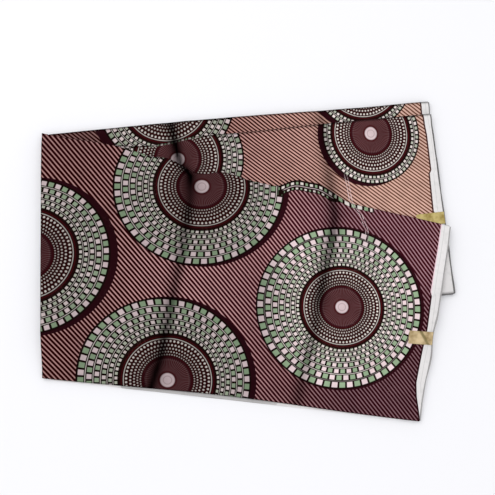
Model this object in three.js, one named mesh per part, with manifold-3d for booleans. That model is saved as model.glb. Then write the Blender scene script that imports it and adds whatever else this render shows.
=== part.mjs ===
// A length of printed cotton cloth, doubled on a half fold at the left and folded over and over, laid flat.
// Two bundles lie one on the other, fanned a few degrees apart. Three doubled panels show from above:
// the back panel as a strip along the far side, the middle panel fanned over it, and the front one on top.
// Millimetres, +X to the right along the cloth's width, +Y away from the viewer, +Z up.
import * as THREE from "three";
import { mergeVertices } from "three/addons/utils/BufferGeometryUtils.js";
import Module from "manifold-3d";

const wasm = await Module();
wasm.setup();

// Cloth and folds
const WALL = 1.5; // one doubled panel, two plies and the air between them
const GAP = 0.3; // between panels that lie on each other
const TUCK = 6; // how far a folded edge turns back under its own panel
const FOLD_LIFT = WALL + GAP; // a panel rides this much higher over its own turned edge
const LIFT = { from: 8, to: 18 }; // the lift stays whole this far in from the fold, and is gone this far in
const SLACK = 0.6; // air under a panel, which its creases press out
const FRONT_SLACK = 0.9;

// Hidden layers
const LOWER_LAYERS = 3.2; // height of the lower bundle's hidden layers
const UPPER_LAYERS = 4.4; // height of the upper bundle's hidden layers where it lies on the lower one
const FRONT_LAYERS = 5.2; // their height where they lie on the table
const RIM_LAYERS = 2.0; // the lowest layers, which show under the front panel's near fold
const LAYER_GROOVE = 0.9; // how deep the edge is drawn in between two layers
const SPINE = { from: 1.6, to: 8.6 }; // the stacked half folds, measured in from the left edge

// How far the hidden layers stay inside the panels over them
const INSET = {
  side: 4,
  farFold: 3.4,
  nearFold: 11.5,
  spineFar: 11,
  frontFar: 24,
  middleFar: 20,
  frontNear: 9.5,
};
const PAST_NEAR = 9; // the upper bundle's layers reach this far past the lower bundle's near fold
const PAST_START = 1.2; // and the layers on the table start this far past it
const RIM_SHOWS = 2.6; // the lowest layers show this far past the front panel's near corners
const RIM_DEEP = 26; // and reach this far in under it

// How the front panel lies over what is under it, in distances in from a folded edge
const REST_LIFT = { from: 14, to: 40 }; // over the turned edge of the panel below
const REST_DROP = { from: -3, to: -24 }; // down past that edge at the left
const LABEL_RISE = { from: 28, to: 8 }; // up onto the back label
const FAR_RISE = { from: 8, to: 52 }; // up from its far fold onto the hidden layers
const NEAR_FALL = { from: 5, to: 32 }; // down to its near fold
const STEP = { from: 1.12, to: 0.25 }; // off the lower bundle, in shares of the way to that bundle's edge
const HELD_BACK = 6; // the hidden layers' slopes start this much further in

// Undersides from the table up, where the creases press each panel down
const BACK_LEVEL = LOWER_LAYERS + GAP;
const MIDDLE_LEVEL = BACK_LEVEL + SLACK + WALL + GAP;
const UPPER_LEVEL = MIDDLE_LEVEL + SLACK + WALL + GAP;
const UPPER_TOP = UPPER_LEVEL + UPPER_LAYERS;
const OVER_TURNED_EDGE = 2 * GAP + WALL; // from what a turned edge lies on to the panel over it

// Outlines in plan, corner by corner: far left, far right, near right, near left
const BACK = {
  farLeft: { x: -294, y: 183.8 },
  farRight: { x: 282.8, y: 236.6 },
  nearRight: { x: 301.2, y: -52.5 },
  nearLeft: { x: -276.5, y: -108.5 },
};
const MIDDLE = {
  farLeft: { x: -292.5, y: 159 },
  farRight: { x: 284, y: 217 },
  nearRight: { x: 304, y: -60 },
  nearLeft: { x: -276.5, y: -116 },
};
const FRONT = {
  farLeft: { x: -304, y: 185 },
  farRight: { x: 303, y: 40.5 },
  nearRight: { x: 246.5, y: -238 },
  nearLeft: { x: -282.5, y: -179 },
};

// Where a folded edge wanders from the straight line between its corners
const BACK_FOLD_WAVES = [
  { x: -60, halfWidth: 320, out: 3.4 },
  { x: 262, halfWidth: 90, out: 1.4 },
];
const MIDDLE_FOLD_WAVES = [
  { x: -140, halfWidth: 80, out: -8.5 },
  { x: 10, halfWidth: 120, out: -1.6 },
];
const FRONT_FOLD_WAVES = [
  { x: -195, halfWidth: 95, out: 5.5 },
  { x: -110, halfWidth: 32, out: 4.5 },
  { x: -68, halfWidth: 36, out: -7.5 },
  { x: -24, halfWidth: 34, out: 3.5 },
  { x: 74, halfWidth: 30, out: 8.8 },
  { x: 109, halfWidth: 56, out: 19 },
];
const FRONT_NEAR_WAVES = [{ x: -30, halfWidth: 255, out: -4.6 }];
const FRONT_SIDE_WAVES = [
  { y: -118, halfWidth: 34, out: -2.4 },
  { y: -205, halfWidth: 60, out: -2.6 },
];

// Pressed creases, as long soft troughs that run through every panel from the far side to the near side
const CREASES = [
  {
    depth: 1.0,
    halfWidth: 17,
    line: [
      { y: 215, x: -114 },
      { y: 170, x: -100 },
      { y: 118, x: -80 },
      { y: 18, x: -87 },
      { y: -82, x: -105 },
      { y: -195, x: -131 },
    ],
  },
  {
    depth: 0.85,
    halfWidth: 20,
    line: [
      { y: 230, x: 116 },
      { y: 120, x: 129 },
      { y: 55, x: 133 },
      { y: -60, x: 109 },
      { y: -122, x: 95 },
      { y: -225, x: 86 },
    ],
  },
  {
    depth: 0.35,
    halfWidth: 9,
    line: [
      { y: 232, x: 176 },
      { y: 105, x: 153 },
      { y: 55, x: 175 },
      { y: -60, x: 171 },
      { y: -232, x: 152 },
    ],
  },
];

// Foil labels, each folded round the selvedge: width along X, depth along Y
const LABEL_WALL = 0.5;
const LABEL_AIR = 0.55; // between a label and the panel it is stuck to
const FRONT_LABEL = { onTop: 31, depth: 18, y: -123, turn: -0.07, under: 1.2 };
const BACK_LABEL = { onTop: 40, depth: 19, y: 53, turn: -0.05, under: 0.6 };

// How finely the surfaces are divided
const COLUMNS = { back: 18, middle: 20, front: 34 };
const BACK_ROWS = 3; // evenly spaced rows on a run, past the rows over its lifted fold
const MIDDLE_ROWS = 4;
const FOLD_ROWS = [6, 11, 15, 20]; // distances in from a far fold
const RISE_ROWS = [7, 14, 22, 32, 44];
const FRONT_ROWS = { level: 3, step: 7, fall: 3 };
const RUN_END = 11; // a run ends this far from the middle panel's near fold
const FALL_END = 4; // and this far from the front panel's
const NOSE_STEPS = 4; // straight stretches round a folded edge
const LEVELS_A_LAYER = 3;
const LABEL_GRID = { rows: 4, steps: 6, turn: 4 };

const COLOURS = {
  layers: 0x5a3231,
  back: 0x8a5a4c,
  middle: 0x94604f,
  front: 0x6b3a3d,
  label: 0xb9a04a,
};

const lerp = THREE.MathUtils.lerp;
const smoothstep = THREE.MathUtils.smoothstep;

// A smooth hump, 1 in the middle and 0 at halfWidth
function hump(offset, halfWidth) {
  const share = Math.min(Math.abs(offset) / halfWidth, 1);
  return 0.5 * (1 + Math.cos(Math.PI * share));
}

// The Y of a folded edge over X: the straight line between two corners, and its waves
function foldLine(left, right, waves = []) {
  return (x) => {
    const share = (x - left.x) / (right.x - left.x);
    const waved = waves.reduce((sum, w) => sum + w.out * hump(x - w.x, w.halfWidth), 0);
    return lerp(left.y, right.y, share) + waved;
  };
}

const backFold = foldLine(BACK.farLeft, BACK.farRight, BACK_FOLD_WAVES);
const middleFold = foldLine(MIDDLE.farLeft, MIDDLE.farRight, MIDDLE_FOLD_WAVES);
const middleNear = foldLine(MIDDLE.nearLeft, MIDDLE.nearRight);
const frontFold = foldLine(FRONT.farLeft, FRONT.farRight, FRONT_FOLD_WAVES);
const frontNear = foldLine(
  FRONT.nearLeft,
  FRONT.nearRight,
  FRONT_NEAR_WAVES.map((w) => ({ ...w, out: -w.out })),
);

// The straight side between two corners, as the X over Y
function sideLine(far, near, waves = []) {
  return (y) => {
    const share = (y - far.y) / (near.y - far.y);
    const waved = waves.reduce((sum, w) => sum + w.out * hump(y - w.y, w.halfWidth), 0);
    return lerp(far.x, near.x, share) + waved;
  };
}

const frontLeft = sideLine(FRONT.farLeft, FRONT.nearLeft);
const frontRight = sideLine(FRONT.farRight, FRONT.nearRight, FRONT_SIDE_WAVES);

// How deep the creases press a panel at a place, as a share of 1
function pressed(x, y) {
  let share = 0;
  for (const crease of CREASES) {
    const rows = crease.line;
    let i = 0;
    while (i < rows.length - 2 && y < rows[i + 1].y) i += 1;
    const along = THREE.MathUtils.clamp((y - rows[i].y) / (rows[i + 1].y - rows[i].y), 0, 1);
    const middle = lerp(rows[i].x, rows[i + 1].x, along);
    share += crease.depth * Math.exp(-(((x - middle) / crease.halfWidth) ** 2) * 2);
  }
  return Math.min(share, 1);
}

// A panel's lift over its own turned edge, at a distance in from the fold
function foldLift(inwards, reach = LIFT) {
  return FOLD_LIFT * (1 - smoothstep(inwards, reach.from, reach.to));
}

function backUnder(x, y) {
  return BACK_LEVEL + SLACK * (1 - pressed(x, y)) + foldLift(backFold(x) - y);
}

function middleUnder(x, y) {
  return MIDDLE_LEVEL + SLACK * (1 - pressed(x, y)) + foldLift(middleFold(x) - y);
}

const middleRight = sideLine(MIDDLE.farRight, MIDDLE.nearRight);
const middleTop = (x, y) => middleUnder(x, y) + WALL;
const frontTop = (x, y) => frontUnder(x, y) + WALL;

// What the front panel's far fold lies on: the middle panel and its label, or the back panel at the left
function frontRest(x, y) {
  const inwards = middleFold(x) - y;
  const onMiddle = MIDDLE_LEVEL + SLACK + WALL + foldLift(inwards, REST_LIFT);
  const onBack = BACK_LEVEL + SLACK + WALL + foldLift(backFold(x) - y, REST_LIFT);
  const overMiddle = smoothstep(inwards, REST_DROP.to, REST_DROP.from);
  const labelStart = middleRight(BACK_LABEL.y) - BACK_LABEL.onTop;
  const overLabel = smoothstep(x, labelStart - LABEL_RISE.from, labelStart - LABEL_RISE.to);
  return lerp(onBack, onMiddle, overMiddle) + overLabel * (LABEL_AIR + LABEL_WALL);
}

// How far a place lies towards the lower bundle's near fold, as a share of the way from the front one
function stepShare(x, y) {
  return (y - frontNear(x)) / (middleNear(x) - frontNear(x));
}

// The front panel's underside. The hidden layers below it use the same form, held back in from its slopes.
function frontLevel(x, y, heldBack, slack) {
  const onLower = smoothstep(stepShare(x, y - heldBack), STEP.to, STEP.from);
  const flat = lerp(FRONT_LAYERS, UPPER_TOP, onLower) + GAP + slack;
  const climbed = smoothstep(frontFold(x) - y - heldBack, FAR_RISE.from, FAR_RISE.to);
  const fallen = smoothstep(y - frontNear(x) - heldBack, NEAR_FALL.from, NEAR_FALL.to);
  const far = frontRest(x, y) + OVER_TURNED_EDGE;
  return lerp(RIM_LAYERS + OVER_TURNED_EDGE, lerp(far, flat, climbed), fallen);
}

function frontUnder(x, y) {
  return frontLevel(x, y, 0, FRONT_SLACK * (1 - pressed(x, y)));
}

function upperTop(x, y) {
  return frontLevel(x, y, HELD_BACK, 0) - GAP;
}

// A point in plan inside four edges: share across from left to right, share along from far to near
function patch(corners, far, near, left, right) {
  return (across, along) => {
    const farX = lerp(corners.farLeft.x, corners.farRight.x, across);
    const nearX = lerp(corners.nearLeft.x, corners.nearRight.x, across);
    const leftY = lerp(corners.farLeft.y, corners.nearLeft.y, along);
    const rightY = lerp(corners.farRight.y, corners.nearRight.y, along);
    const straightX = lerp(farX, nearX, along);
    const straightY = lerp(
      lerp(corners.farLeft.y, corners.farRight.y, across),
      lerp(corners.nearLeft.y, corners.nearRight.y, across),
      along,
    );
    const farWave = far(farX) - lerp(corners.farLeft.y, corners.farRight.y, across);
    const nearWave = near(nearX) - lerp(corners.nearLeft.y, corners.nearRight.y, across);
    const leftWave = left(leftY) - lerp(corners.farLeft.x, corners.nearLeft.x, along);
    const rightWave = right(rightY) - lerp(corners.farRight.x, corners.nearRight.x, along);
    return {
      x: straightX + lerp(leftWave, rightWave, across),
      y: straightY + lerp(farWave, nearWave, along),
    };
  };
}

// A closed sheet of cloth from two grids of points, its outer face and its inner face
function thickSheet(outer, inner) {
  const columns = outer.length;
  const rows = outer[0].length;
  const positions = [...outer.flat(), ...inner.flat()].flatMap((p) => [p.x, p.y, p.z]);
  const at = (face, column, row) => face * columns * rows + column * rows + row;
  const indices = [];
  const quad = (a, b, c, d) => indices.push(a, b, c, a, c, d);
  for (let i = 0; i < columns - 1; i += 1) {
    for (let j = 0; j < rows - 1; j += 1) {
      quad(at(0, i, j), at(0, i, j + 1), at(0, i + 1, j + 1), at(0, i + 1, j));
      quad(at(1, i, j), at(1, i + 1, j), at(1, i + 1, j + 1), at(1, i, j + 1));
    }
    quad(at(0, i, 0), at(0, i + 1, 0), at(1, i + 1, 0), at(1, i, 0));
    const last = rows - 1;
    quad(at(0, i, last), at(1, i, last), at(1, i + 1, last), at(0, i + 1, last));
  }
  for (let j = 0; j < rows - 1; j += 1) {
    const last = columns - 1;
    quad(at(0, 0, j), at(1, 0, j), at(1, 0, j + 1), at(0, 0, j + 1));
    quad(at(0, last, j), at(0, last, j + 1), at(1, last, j + 1), at(1, last, j));
  }
  const geometry = new THREE.BufferGeometry();
  geometry.setAttribute("position", new THREE.Float32BufferAttribute(positions, 3));
  geometry.setIndex(indices);
  return geometry;
}

// One end of a panel's section: the turned edge from its tucked end to the start of the run on top.
// Each row is an outer and an inner point, as a distance in from the panel's edge and a height.
function foldedEnd(place, under, rest) {
  const edge = place(0);
  const low = rest(edge.x, edge.y) + GAP;
  const high = under(edge.x, edge.y) + WALL;
  const radius = (high - low) / 2;
  const tucked = radius + TUCK;
  const end = place(tucked);
  const endLow = rest(end.x, end.y) + GAP;
  const rows = [
    [
      { in: tucked, z: endLow },
      { in: tucked, z: endLow + WALL },
    ],
  ];
  for (let i = 0; i <= NOSE_STEPS; i += 1) {
    const turn = (Math.PI * i) / NOSE_STEPS;
    const around = (r) => ({ in: radius - r * Math.sin(turn), z: low + radius - r * Math.cos(turn) });
    rows.push([around(radius), around(radius - WALL)]);
  }
  return rows;
}

const blend = (a, b, t) => ({ x: lerp(a.x, b.x, t), y: lerp(a.y, b.y, t), z: lerp(a.z, b.z, t) });

// The left end is rounded, because the cloth is doubled there: the wall's share at each distance in
const HALF_FOLD = [
  { in: 0, wall: 0.35 },
  { in: 0.25, wall: 0.75 },
  { in: 0.75, wall: 1 },
];

// A doubled panel: columns from left to right, each a section from its far fold to its near edge.
// rows gives the distances in from the far fold at which the run between the folds has a point.
function panel({ place, under, farRest, nearRest, columns, rows }) {
  const width = place(1, 0).x - place(0, 0).x;
  const stations = HALF_FOLD.map((h) => ({ across: h.in / width, wall: h.wall }));
  for (let i = 1; i <= columns; i += 1) stations.push({ across: i / columns, wall: 1 });
  const outer = [];
  const inner = [];
  for (const { across, wall } of stations) {
    const far = place(across, 0);
    const near = place(across, 1);
    const long = Math.hypot(near.x - far.x, near.y - far.y);
    const fromFar = (inwards) => place(across, inwards / long);
    const fromNear = (inwards) => place(across, 1 - inwards / long);
    const placed = (from) => (row) => row.map((p) => ({ ...from(p.in), z: p.z }));
    const section = foldedEnd(fromFar, under, farRest).map(placed(fromFar));
    for (const inwards of rows(place, across, long)) {
      const point = fromFar(inwards);
      const z = under(point.x, point.y);
      section.push([
        { ...point, z: z + WALL },
        { ...point, z },
      ]);
    }
    if (nearRest) {
      section.push(...foldedEnd(fromNear, under, nearRest).map(placed(fromNear)).reverse());
    }
    outer.push(section.map(([o, i]) => blend(i, o, (1 + wall) / 2)));
    inner.push(section.map(([o, i]) => blend(o, i, (1 + wall) / 2)));
  }
  return thickSheet(outer, inner);
}

// Hidden layers between four corners in plan, with an underside and a top that follow the panels.
// Each layer is a rounded roll at the edge, drawn in between one roll and the next.
function layeredSlab({ corners, far, near, under, top, across, along, layers }) {
  const flat = patch(
    corners,
    far ?? foldLine(corners.farLeft, corners.farRight),
    near ?? foldLine(corners.nearLeft, corners.nearRight),
    sideLine(corners.farLeft, corners.nearLeft),
    sideLine(corners.farRight, corners.nearRight),
  );
  const wide = corners.farRight.x - corners.farLeft.x;
  const deep = corners.farLeft.y - corners.nearLeft.y;
  const levels = layers * LEVELS_A_LAYER;
  const drawnIn = (level) => {
    const roll = Math.abs(Math.sin((Math.PI * level) / LEVELS_A_LAYER));
    return LAYER_GROOVE * (1 - Math.sqrt(roll));
  };
  const point = (i, j, level) => {
    const inwards = drawnIn(level);
    const s = lerp(inwards / wide, 1 - inwards / wide, i / across);
    const t = lerp(inwards / deep, 1 - inwards / deep, j / along);
    const p = flat(s, t);
    const low = under(p.x, p.y);
    return { ...p, z: lerp(low, top(p.x, p.y), level / levels) };
  };
  const positions = [];
  const add = (p) => positions.push(p.x, p.y, p.z) / 3 - 1;
  const indices = [];
  const quad = (a, b, c, d) => indices.push(a, b, c, a, c, d);
  // The perimeter runs anticlockwise seen from above: near side, right, far side, left
  const rim = [];
  for (let i = 0; i < across; i += 1) rim.push([i, along]);
  for (let j = along; j > 0; j -= 1) rim.push([across, j]);
  for (let i = across; i > 0; i -= 1) rim.push([i, 0]);
  for (let j = 0; j < along; j += 1) rim.push([0, j]);
  const rings = [];
  for (let level = 0; level <= levels; level += 1) {
    rings.push(rim.map(([i, j]) => add(point(i, j, level))));
  }
  for (let level = 0; level < levels; level += 1) {
    rim.forEach((_, k) => {
      const next = (k + 1) % rim.length;
      quad(rings[level][k], rings[level][next], rings[level + 1][next], rings[level + 1][k]);
    });
  }
  for (const level of [0, levels]) {
    const ring = rings[level];
    const grid = Array.from({ length: across + 1 }, () => []);
    rim.forEach(([i, j], k) => {
      grid[i][j] = ring[k];
    });
    for (let i = 1; i < across; i += 1) {
      for (let j = 1; j < along; j += 1) grid[i][j] = add(point(i, j, level));
    }
    for (let i = 0; i < across; i += 1) {
      for (let j = 0; j < along; j += 1) {
        const [a, b, c, d] = [grid[i][j], grid[i][j + 1], grid[i + 1][j + 1], grid[i + 1][j]];
        if (level) quad(a, b, c, d);
        else quad(a, d, c, b);
      }
    }
  }
  const geometry = new THREE.BufferGeometry();
  geometry.setAttribute("position", new THREE.Float32BufferAttribute(positions, 3));
  geometry.setIndex(indices);
  return geometry;
}

function solidOf(geometry) {
  const merged = mergeVertices(geometry, 1e-4);
  return new wasm.Manifold(
    new wasm.Mesh({
      numProp: 3,
      vertProperties: merged.attributes.position.array,
      triVerts: new Uint32Array(merged.index.array),
    }),
  );
}

function geometryOf(solid) {
  const mesh = solid.getMesh();
  const geometry = new THREE.BufferGeometry();
  geometry.setAttribute("position", new THREE.BufferAttribute(mesh.vertProperties, 3));
  geometry.setIndex(new THREE.BufferAttribute(mesh.triVerts, 1));
  return geometry;
}

const corner = (x, y) => ({ x, y });

// The hidden layers of both bundles, as one solid joined along the stacked half folds at the left
function foldedLayers() {
  const table = () => 0;
  const spineAt = (y, inwards) => corner(frontLeft(y) + inwards, y);
  const joint = SPINE.from + GAP; // the slabs start inside the spine
  const backLeftY = backFold(BACK.farLeft.x) - INSET.farFold;
  const lowerNearY = middleNear(MIDDLE.nearLeft.x) + INSET.nearFold;
  const lower = layeredSlab({
    corners: {
      farLeft: spineAt(backLeftY, joint),
      farRight: corner(BACK.farRight.x - INSET.side, BACK.farRight.y - INSET.farFold),
      nearRight: corner(MIDDLE.nearRight.x - INSET.side, MIDDLE.nearRight.y + INSET.nearFold),
      nearLeft: spineAt(lowerNearY, joint),
    },
    under: table,
    top: () => LOWER_LAYERS,
    across: 1,
    along: 1,
    layers: 2,
  });
  const spine = layeredSlab({
    corners: {
      farLeft: spineAt(FRONT.farLeft.y - INSET.spineFar, SPINE.from),
      farRight: spineAt(FRONT.farLeft.y - INSET.spineFar, SPINE.to),
      nearRight: spineAt(lowerNearY, SPINE.to),
      nearLeft: spineAt(lowerNearY, SPINE.from),
    },
    under: table,
    top: upperTop,
    across: 1,
    along: 7,
    layers: 4,
  });
  const upperFar = (x) => Math.min(middleFold(x) - INSET.middleFar, frontFold(x) - INSET.frontFar);
  const upperLeftY = upperFar(FRONT.farLeft.x);
  const upperRightX = FRONT.farRight.x - INSET.side;
  const nearLeftY = middleNear(FRONT.nearLeft.x);
  const nearRightY = middleNear(FRONT.nearRight.x);
  const upper = layeredSlab({
    corners: {
      farLeft: spineAt(upperLeftY, joint),
      farRight: corner(upperRightX - INSET.side, upperFar(upperRightX)),
      nearRight: corner(frontRight(nearRightY) - INSET.side, nearRightY - PAST_NEAR),
      nearLeft: spineAt(nearLeftY - PAST_NEAR, joint),
    },
    far: upperFar,
    under: () => UPPER_LEVEL,
    top: upperTop,
    across: 14,
    along: 9,
    layers: 2,
  });
  const frontInner = (x) => frontNear(x) + INSET.frontNear;
  const front = layeredSlab({
    corners: {
      farLeft: spineAt(nearLeftY - PAST_START, joint),
      farRight: corner(frontRight(nearRightY) - INSET.side, nearRightY - PAST_START),
      nearRight: corner(FRONT.nearRight.x - INSET.side, frontInner(FRONT.nearRight.x)),
      nearLeft: corner(FRONT.nearLeft.x + joint, frontInner(FRONT.nearLeft.x)),
    },
    near: frontInner,
    under: table,
    top: upperTop,
    across: 12,
    along: 8,
    layers: 2,
  });
  const rimFarY = FRONT.nearRight.y + RIM_DEEP;
  const rim = layeredSlab({
    corners: {
      farLeft: corner(FRONT.nearLeft.x + GAP, FRONT.nearLeft.y + RIM_DEEP),
      farRight: corner(frontRight(rimFarY) - INSET.side, rimFarY),
      nearRight: corner(FRONT.nearRight.x - RIM_DEEP, frontNear(FRONT.nearRight.x) + RIM_SHOWS),
      nearLeft: corner(FRONT.nearLeft.x + INSET.nearFold, frontNear(FRONT.nearLeft.x) - RIM_SHOWS),
    },
    under: table,
    top: () => RIM_LAYERS,
    across: 10,
    along: 1,
    layers: 1,
  });
  const slabs = [lower, spine, upper, front, rim].map(solidOf);
  return geometryOf(slabs.reduce((sum, slab) => sum.add(slab)));
}

// A foil label from its inner end on the panel, round the selvedge and a little way back under it
function foilLabel(label, edge, topOf) {
  const outer = [];
  const inner = [];
  const reach = WALL / 2 + LABEL_AIR;
  for (let j = 0; j <= LABEL_GRID.rows; j += 1) {
    const offset = label.depth * (j / LABEL_GRID.rows - 0.5);
    const y = label.y + offset;
    const edgeX = edge(y);
    const outerRow = [];
    const innerRow = [];
    for (let i = 0; i <= LABEL_GRID.steps; i += 1) {
      const fromEdge = label.onTop * (1 - i / LABEL_GRID.steps);
      const p = { x: edgeX - fromEdge, y: y - fromEdge * label.turn };
      const low = topOf(p.x, p.y) + LABEL_AIR;
      innerRow.push({ ...p, z: low });
      outerRow.push({ ...p, z: low + LABEL_WALL });
    }
    const middle = topOf(edgeX, y) + LABEL_AIR - reach;
    for (let i = 1; i <= LABEL_GRID.turn; i += 1) {
      const turn = (Math.PI * i) / LABEL_GRID.turn;
      const around = (r) => ({ x: edgeX + r * Math.sin(turn), y, z: middle + r * Math.cos(turn) });
      innerRow.push(around(reach));
      outerRow.push(around(reach + LABEL_WALL));
    }
    innerRow.push({ x: edgeX - label.under, y, z: middle - reach });
    outerRow.push({ x: edgeX - label.under, y, z: middle - reach - LABEL_WALL });
    outer.push(outerRow);
    inner.push(innerRow);
  }
  return thickSheet(outer, inner);
}

const backPlace = patch(
  BACK,
  backFold,
  foldLine(BACK.nearLeft, BACK.nearRight),
  sideLine(BACK.farLeft, BACK.nearLeft),
  sideLine(BACK.farRight, BACK.nearRight),
);
const middlePlace = patch(
  MIDDLE,
  middleFold,
  middleNear,
  sideLine(MIDDLE.farLeft, MIDDLE.nearLeft),
  middleRight,
);
const frontPlace = patch(FRONT, frontFold, frontNear, frontLeft, frontRight);

// Distances in from the far fold: rows over the lifted fold, then evenly spaced ones to the end of the run
const rowsTo = (end, count) => (place, across, long) => {
  const last = FOLD_ROWS.at(-1);
  const rest = Array.from({ length: count }, (_, i) => lerp(last, long - end, (i + 1) / count));
  return [...FOLD_ROWS, ...rest];
};

// The front panel's rows: close together over its rise, its step off the lower bundle and its fall
function frontRows(place, across, long) {
  const far = place(across, 0);
  const near = place(across, 1);
  const toLower = middleNear(far.x) - near.y;
  const stepStart = long - toLower * STEP.from;
  const stepEnd = long - toLower * STEP.to;
  const rows = [...RISE_ROWS];
  const last = RISE_ROWS.at(-1);
  const spread = (from, to, count) => {
    for (let i = 1; i <= count; i += 1) rows.push(lerp(from, to, i / count));
  };
  spread(last, stepStart, FRONT_ROWS.level);
  spread(stepStart, stepEnd, FRONT_ROWS.step);
  spread(stepEnd, long - FALL_END, FRONT_ROWS.fall);
  return rows;
}

const cotton = (color) => new THREE.MeshStandardMaterial({ color, roughness: 0.72, metalness: 0 });
const foil = new THREE.MeshStandardMaterial({ color: COLOURS.label, roughness: 0.35, metalness: 0.8 });

function named(name, geometry, material) {
  geometry.computeVertexNormals();
  const mesh = new THREE.Mesh(geometry, material);
  mesh.name = name;
  return mesh;
}

const cloth = new THREE.Group();
cloth.name = "folded_wax_print";
cloth.add(
  named("folded_layers", foldedLayers(), cotton(COLOURS.layers)),
  named(
    "back_panel",
    panel({
      place: backPlace,
      under: backUnder,
      farRest: () => LOWER_LAYERS,
      columns: COLUMNS.back,
      rows: rowsTo(0, BACK_ROWS),
    }),
    cotton(COLOURS.back),
  ),
  named(
    "middle_panel",
    panel({
      place: middlePlace,
      under: middleUnder,
      farRest: () => BACK_LEVEL + SLACK + WALL,
      nearRest: () => -GAP,
      columns: COLUMNS.middle,
      rows: rowsTo(RUN_END, MIDDLE_ROWS),
    }),
    cotton(COLOURS.middle),
  ),
  named(
    "front_panel",
    panel({
      place: frontPlace,
      under: frontUnder,
      farRest: frontRest,
      nearRest: () => RIM_LAYERS,
      columns: COLUMNS.front,
      rows: frontRows,
    }),
    cotton(COLOURS.front),
  ),
  named("back_label", foilLabel(BACK_LABEL, middleRight, middleTop), foil),
  named("front_label", foilLabel(FRONT_LABEL, frontRight, frontTop), foil),
);

export default cloth;
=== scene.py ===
"""A folded length of wax print cotton, laid flat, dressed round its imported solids.

The cloth is doubled on a half fold at the left and folded over and over into two bundles, fanned apart.
Three doubled panels show: the back one, the middle one fanned over it, and the front one on top.
Plan sizes and heights are in millimetres, in the part's own frame, and become metres when a mesh is made.
"""

import math

import bpy
import numpy as np
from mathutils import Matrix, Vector, noise


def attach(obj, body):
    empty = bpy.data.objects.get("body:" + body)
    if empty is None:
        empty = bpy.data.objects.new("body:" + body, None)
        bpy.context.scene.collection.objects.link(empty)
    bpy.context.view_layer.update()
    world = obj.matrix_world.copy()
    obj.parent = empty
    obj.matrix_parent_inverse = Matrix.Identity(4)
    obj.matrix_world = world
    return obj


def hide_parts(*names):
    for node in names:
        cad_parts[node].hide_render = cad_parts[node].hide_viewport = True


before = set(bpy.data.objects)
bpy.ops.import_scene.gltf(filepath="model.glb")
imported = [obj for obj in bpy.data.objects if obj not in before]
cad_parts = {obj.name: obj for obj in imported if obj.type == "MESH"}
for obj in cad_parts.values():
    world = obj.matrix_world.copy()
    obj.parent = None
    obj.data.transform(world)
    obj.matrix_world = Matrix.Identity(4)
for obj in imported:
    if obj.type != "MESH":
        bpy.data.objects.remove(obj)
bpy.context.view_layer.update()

MM = 0.001

# The view, steeply down on the cloth from its near side, and the studio
CAMERA = {"target": (6.7, 8.6, 8.0), "away": 1004.0, "elevation": 78.0, "lens": 50.0, "sensor": 36.0}
FLOOR = {"half": 3000.0, "level": -0.2, "colour": (0.838, 0.838, 0.856, 1), "roughness": 0.9}
SKY = {"colour": (1.0, 1.0, 1.02, 1), "strength": 0.9}
LAMPS = [
    {"name": "window", "spot": (-1.0, 1.0, 2.2), "size": 2.4, "power": 22.0},
    {"name": "fill", "spot": (1.2, -1.4, 2.2), "size": 2.6, "power": 8.0},
]

# Cloth and folds, as in the part
WALL = 1.5
GAP = 0.3
PLY = 0.36  # one ply of the cotton
TUCK = 6.0
FOLD_LIFT = WALL + GAP
LIFT = (8.0, 18.0)
SLACK = 0.6
FRONT_SLACK = 0.9
LOWER_LAYERS = 3.2
UPPER_LAYERS = 4.4
FRONT_LAYERS = 5.2
RIM_LAYERS = 2.0
REST_LIFT = (14.0, 40.0)
REST_DROP = (-3.0, -24.0)
LABEL_RISE = (28.0, 8.0)
FAR_RISE = (8.0, 52.0)
NEAR_FALL = (5.0, 32.0)
STEP = (1.12, 0.25)
HELD_BACK = 6.0
BACK_LEVEL = LOWER_LAYERS + GAP
MIDDLE_LEVEL = BACK_LEVEL + SLACK + WALL + GAP
UPPER_LEVEL = MIDDLE_LEVEL + SLACK + WALL + GAP
UPPER_TOP = UPPER_LEVEL + UPPER_LAYERS
OVER_TURNED_EDGE = 2 * GAP + WALL

# Outlines in plan
CORNERS = ("far_left", "far_right", "near_right", "near_left")
BACK = {
    "far_left": (-294.0, 183.8),
    "far_right": (282.8, 236.6),
    "near_right": (301.2, -52.5),
    "near_left": (-276.5, -108.5),
}
MIDDLE = {
    "far_left": (-292.5, 159.0),
    "far_right": (284.0, 217.0),
    "near_right": (304.0, -60.0),
    "near_left": (-276.5, -116.0),
}
FRONT = {
    "far_left": (-304.0, 185.0),
    "far_right": (303.0, 40.5),
    "near_right": (246.5, -238.0),
    "near_left": (-282.5, -179.0),
}

# Where an edge wanders from the straight line between its corners: place, half width, how far out
BACK_FOLD_WAVES = [(-60.0, 320.0, 3.4), (262.0, 90.0, 1.4)]
MIDDLE_FOLD_WAVES = [(-140.0, 80.0, -8.5), (10.0, 120.0, -1.6)]
FRONT_FOLD_WAVES = [
    (-195.0, 95.0, 5.5),
    (-110.0, 32.0, 4.5),
    (-68.0, 36.0, -7.5),
    (-24.0, 34.0, 3.5),
    (74.0, 30.0, 8.8),
    (109.0, 56.0, 19.0),
]
FRONT_NEAR_WAVES = [(-30.0, 255.0, 4.6)]
FRONT_SIDE_WAVES = [(-118.0, 34.0, -2.4), (-205.0, 60.0, -2.6)]

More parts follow.
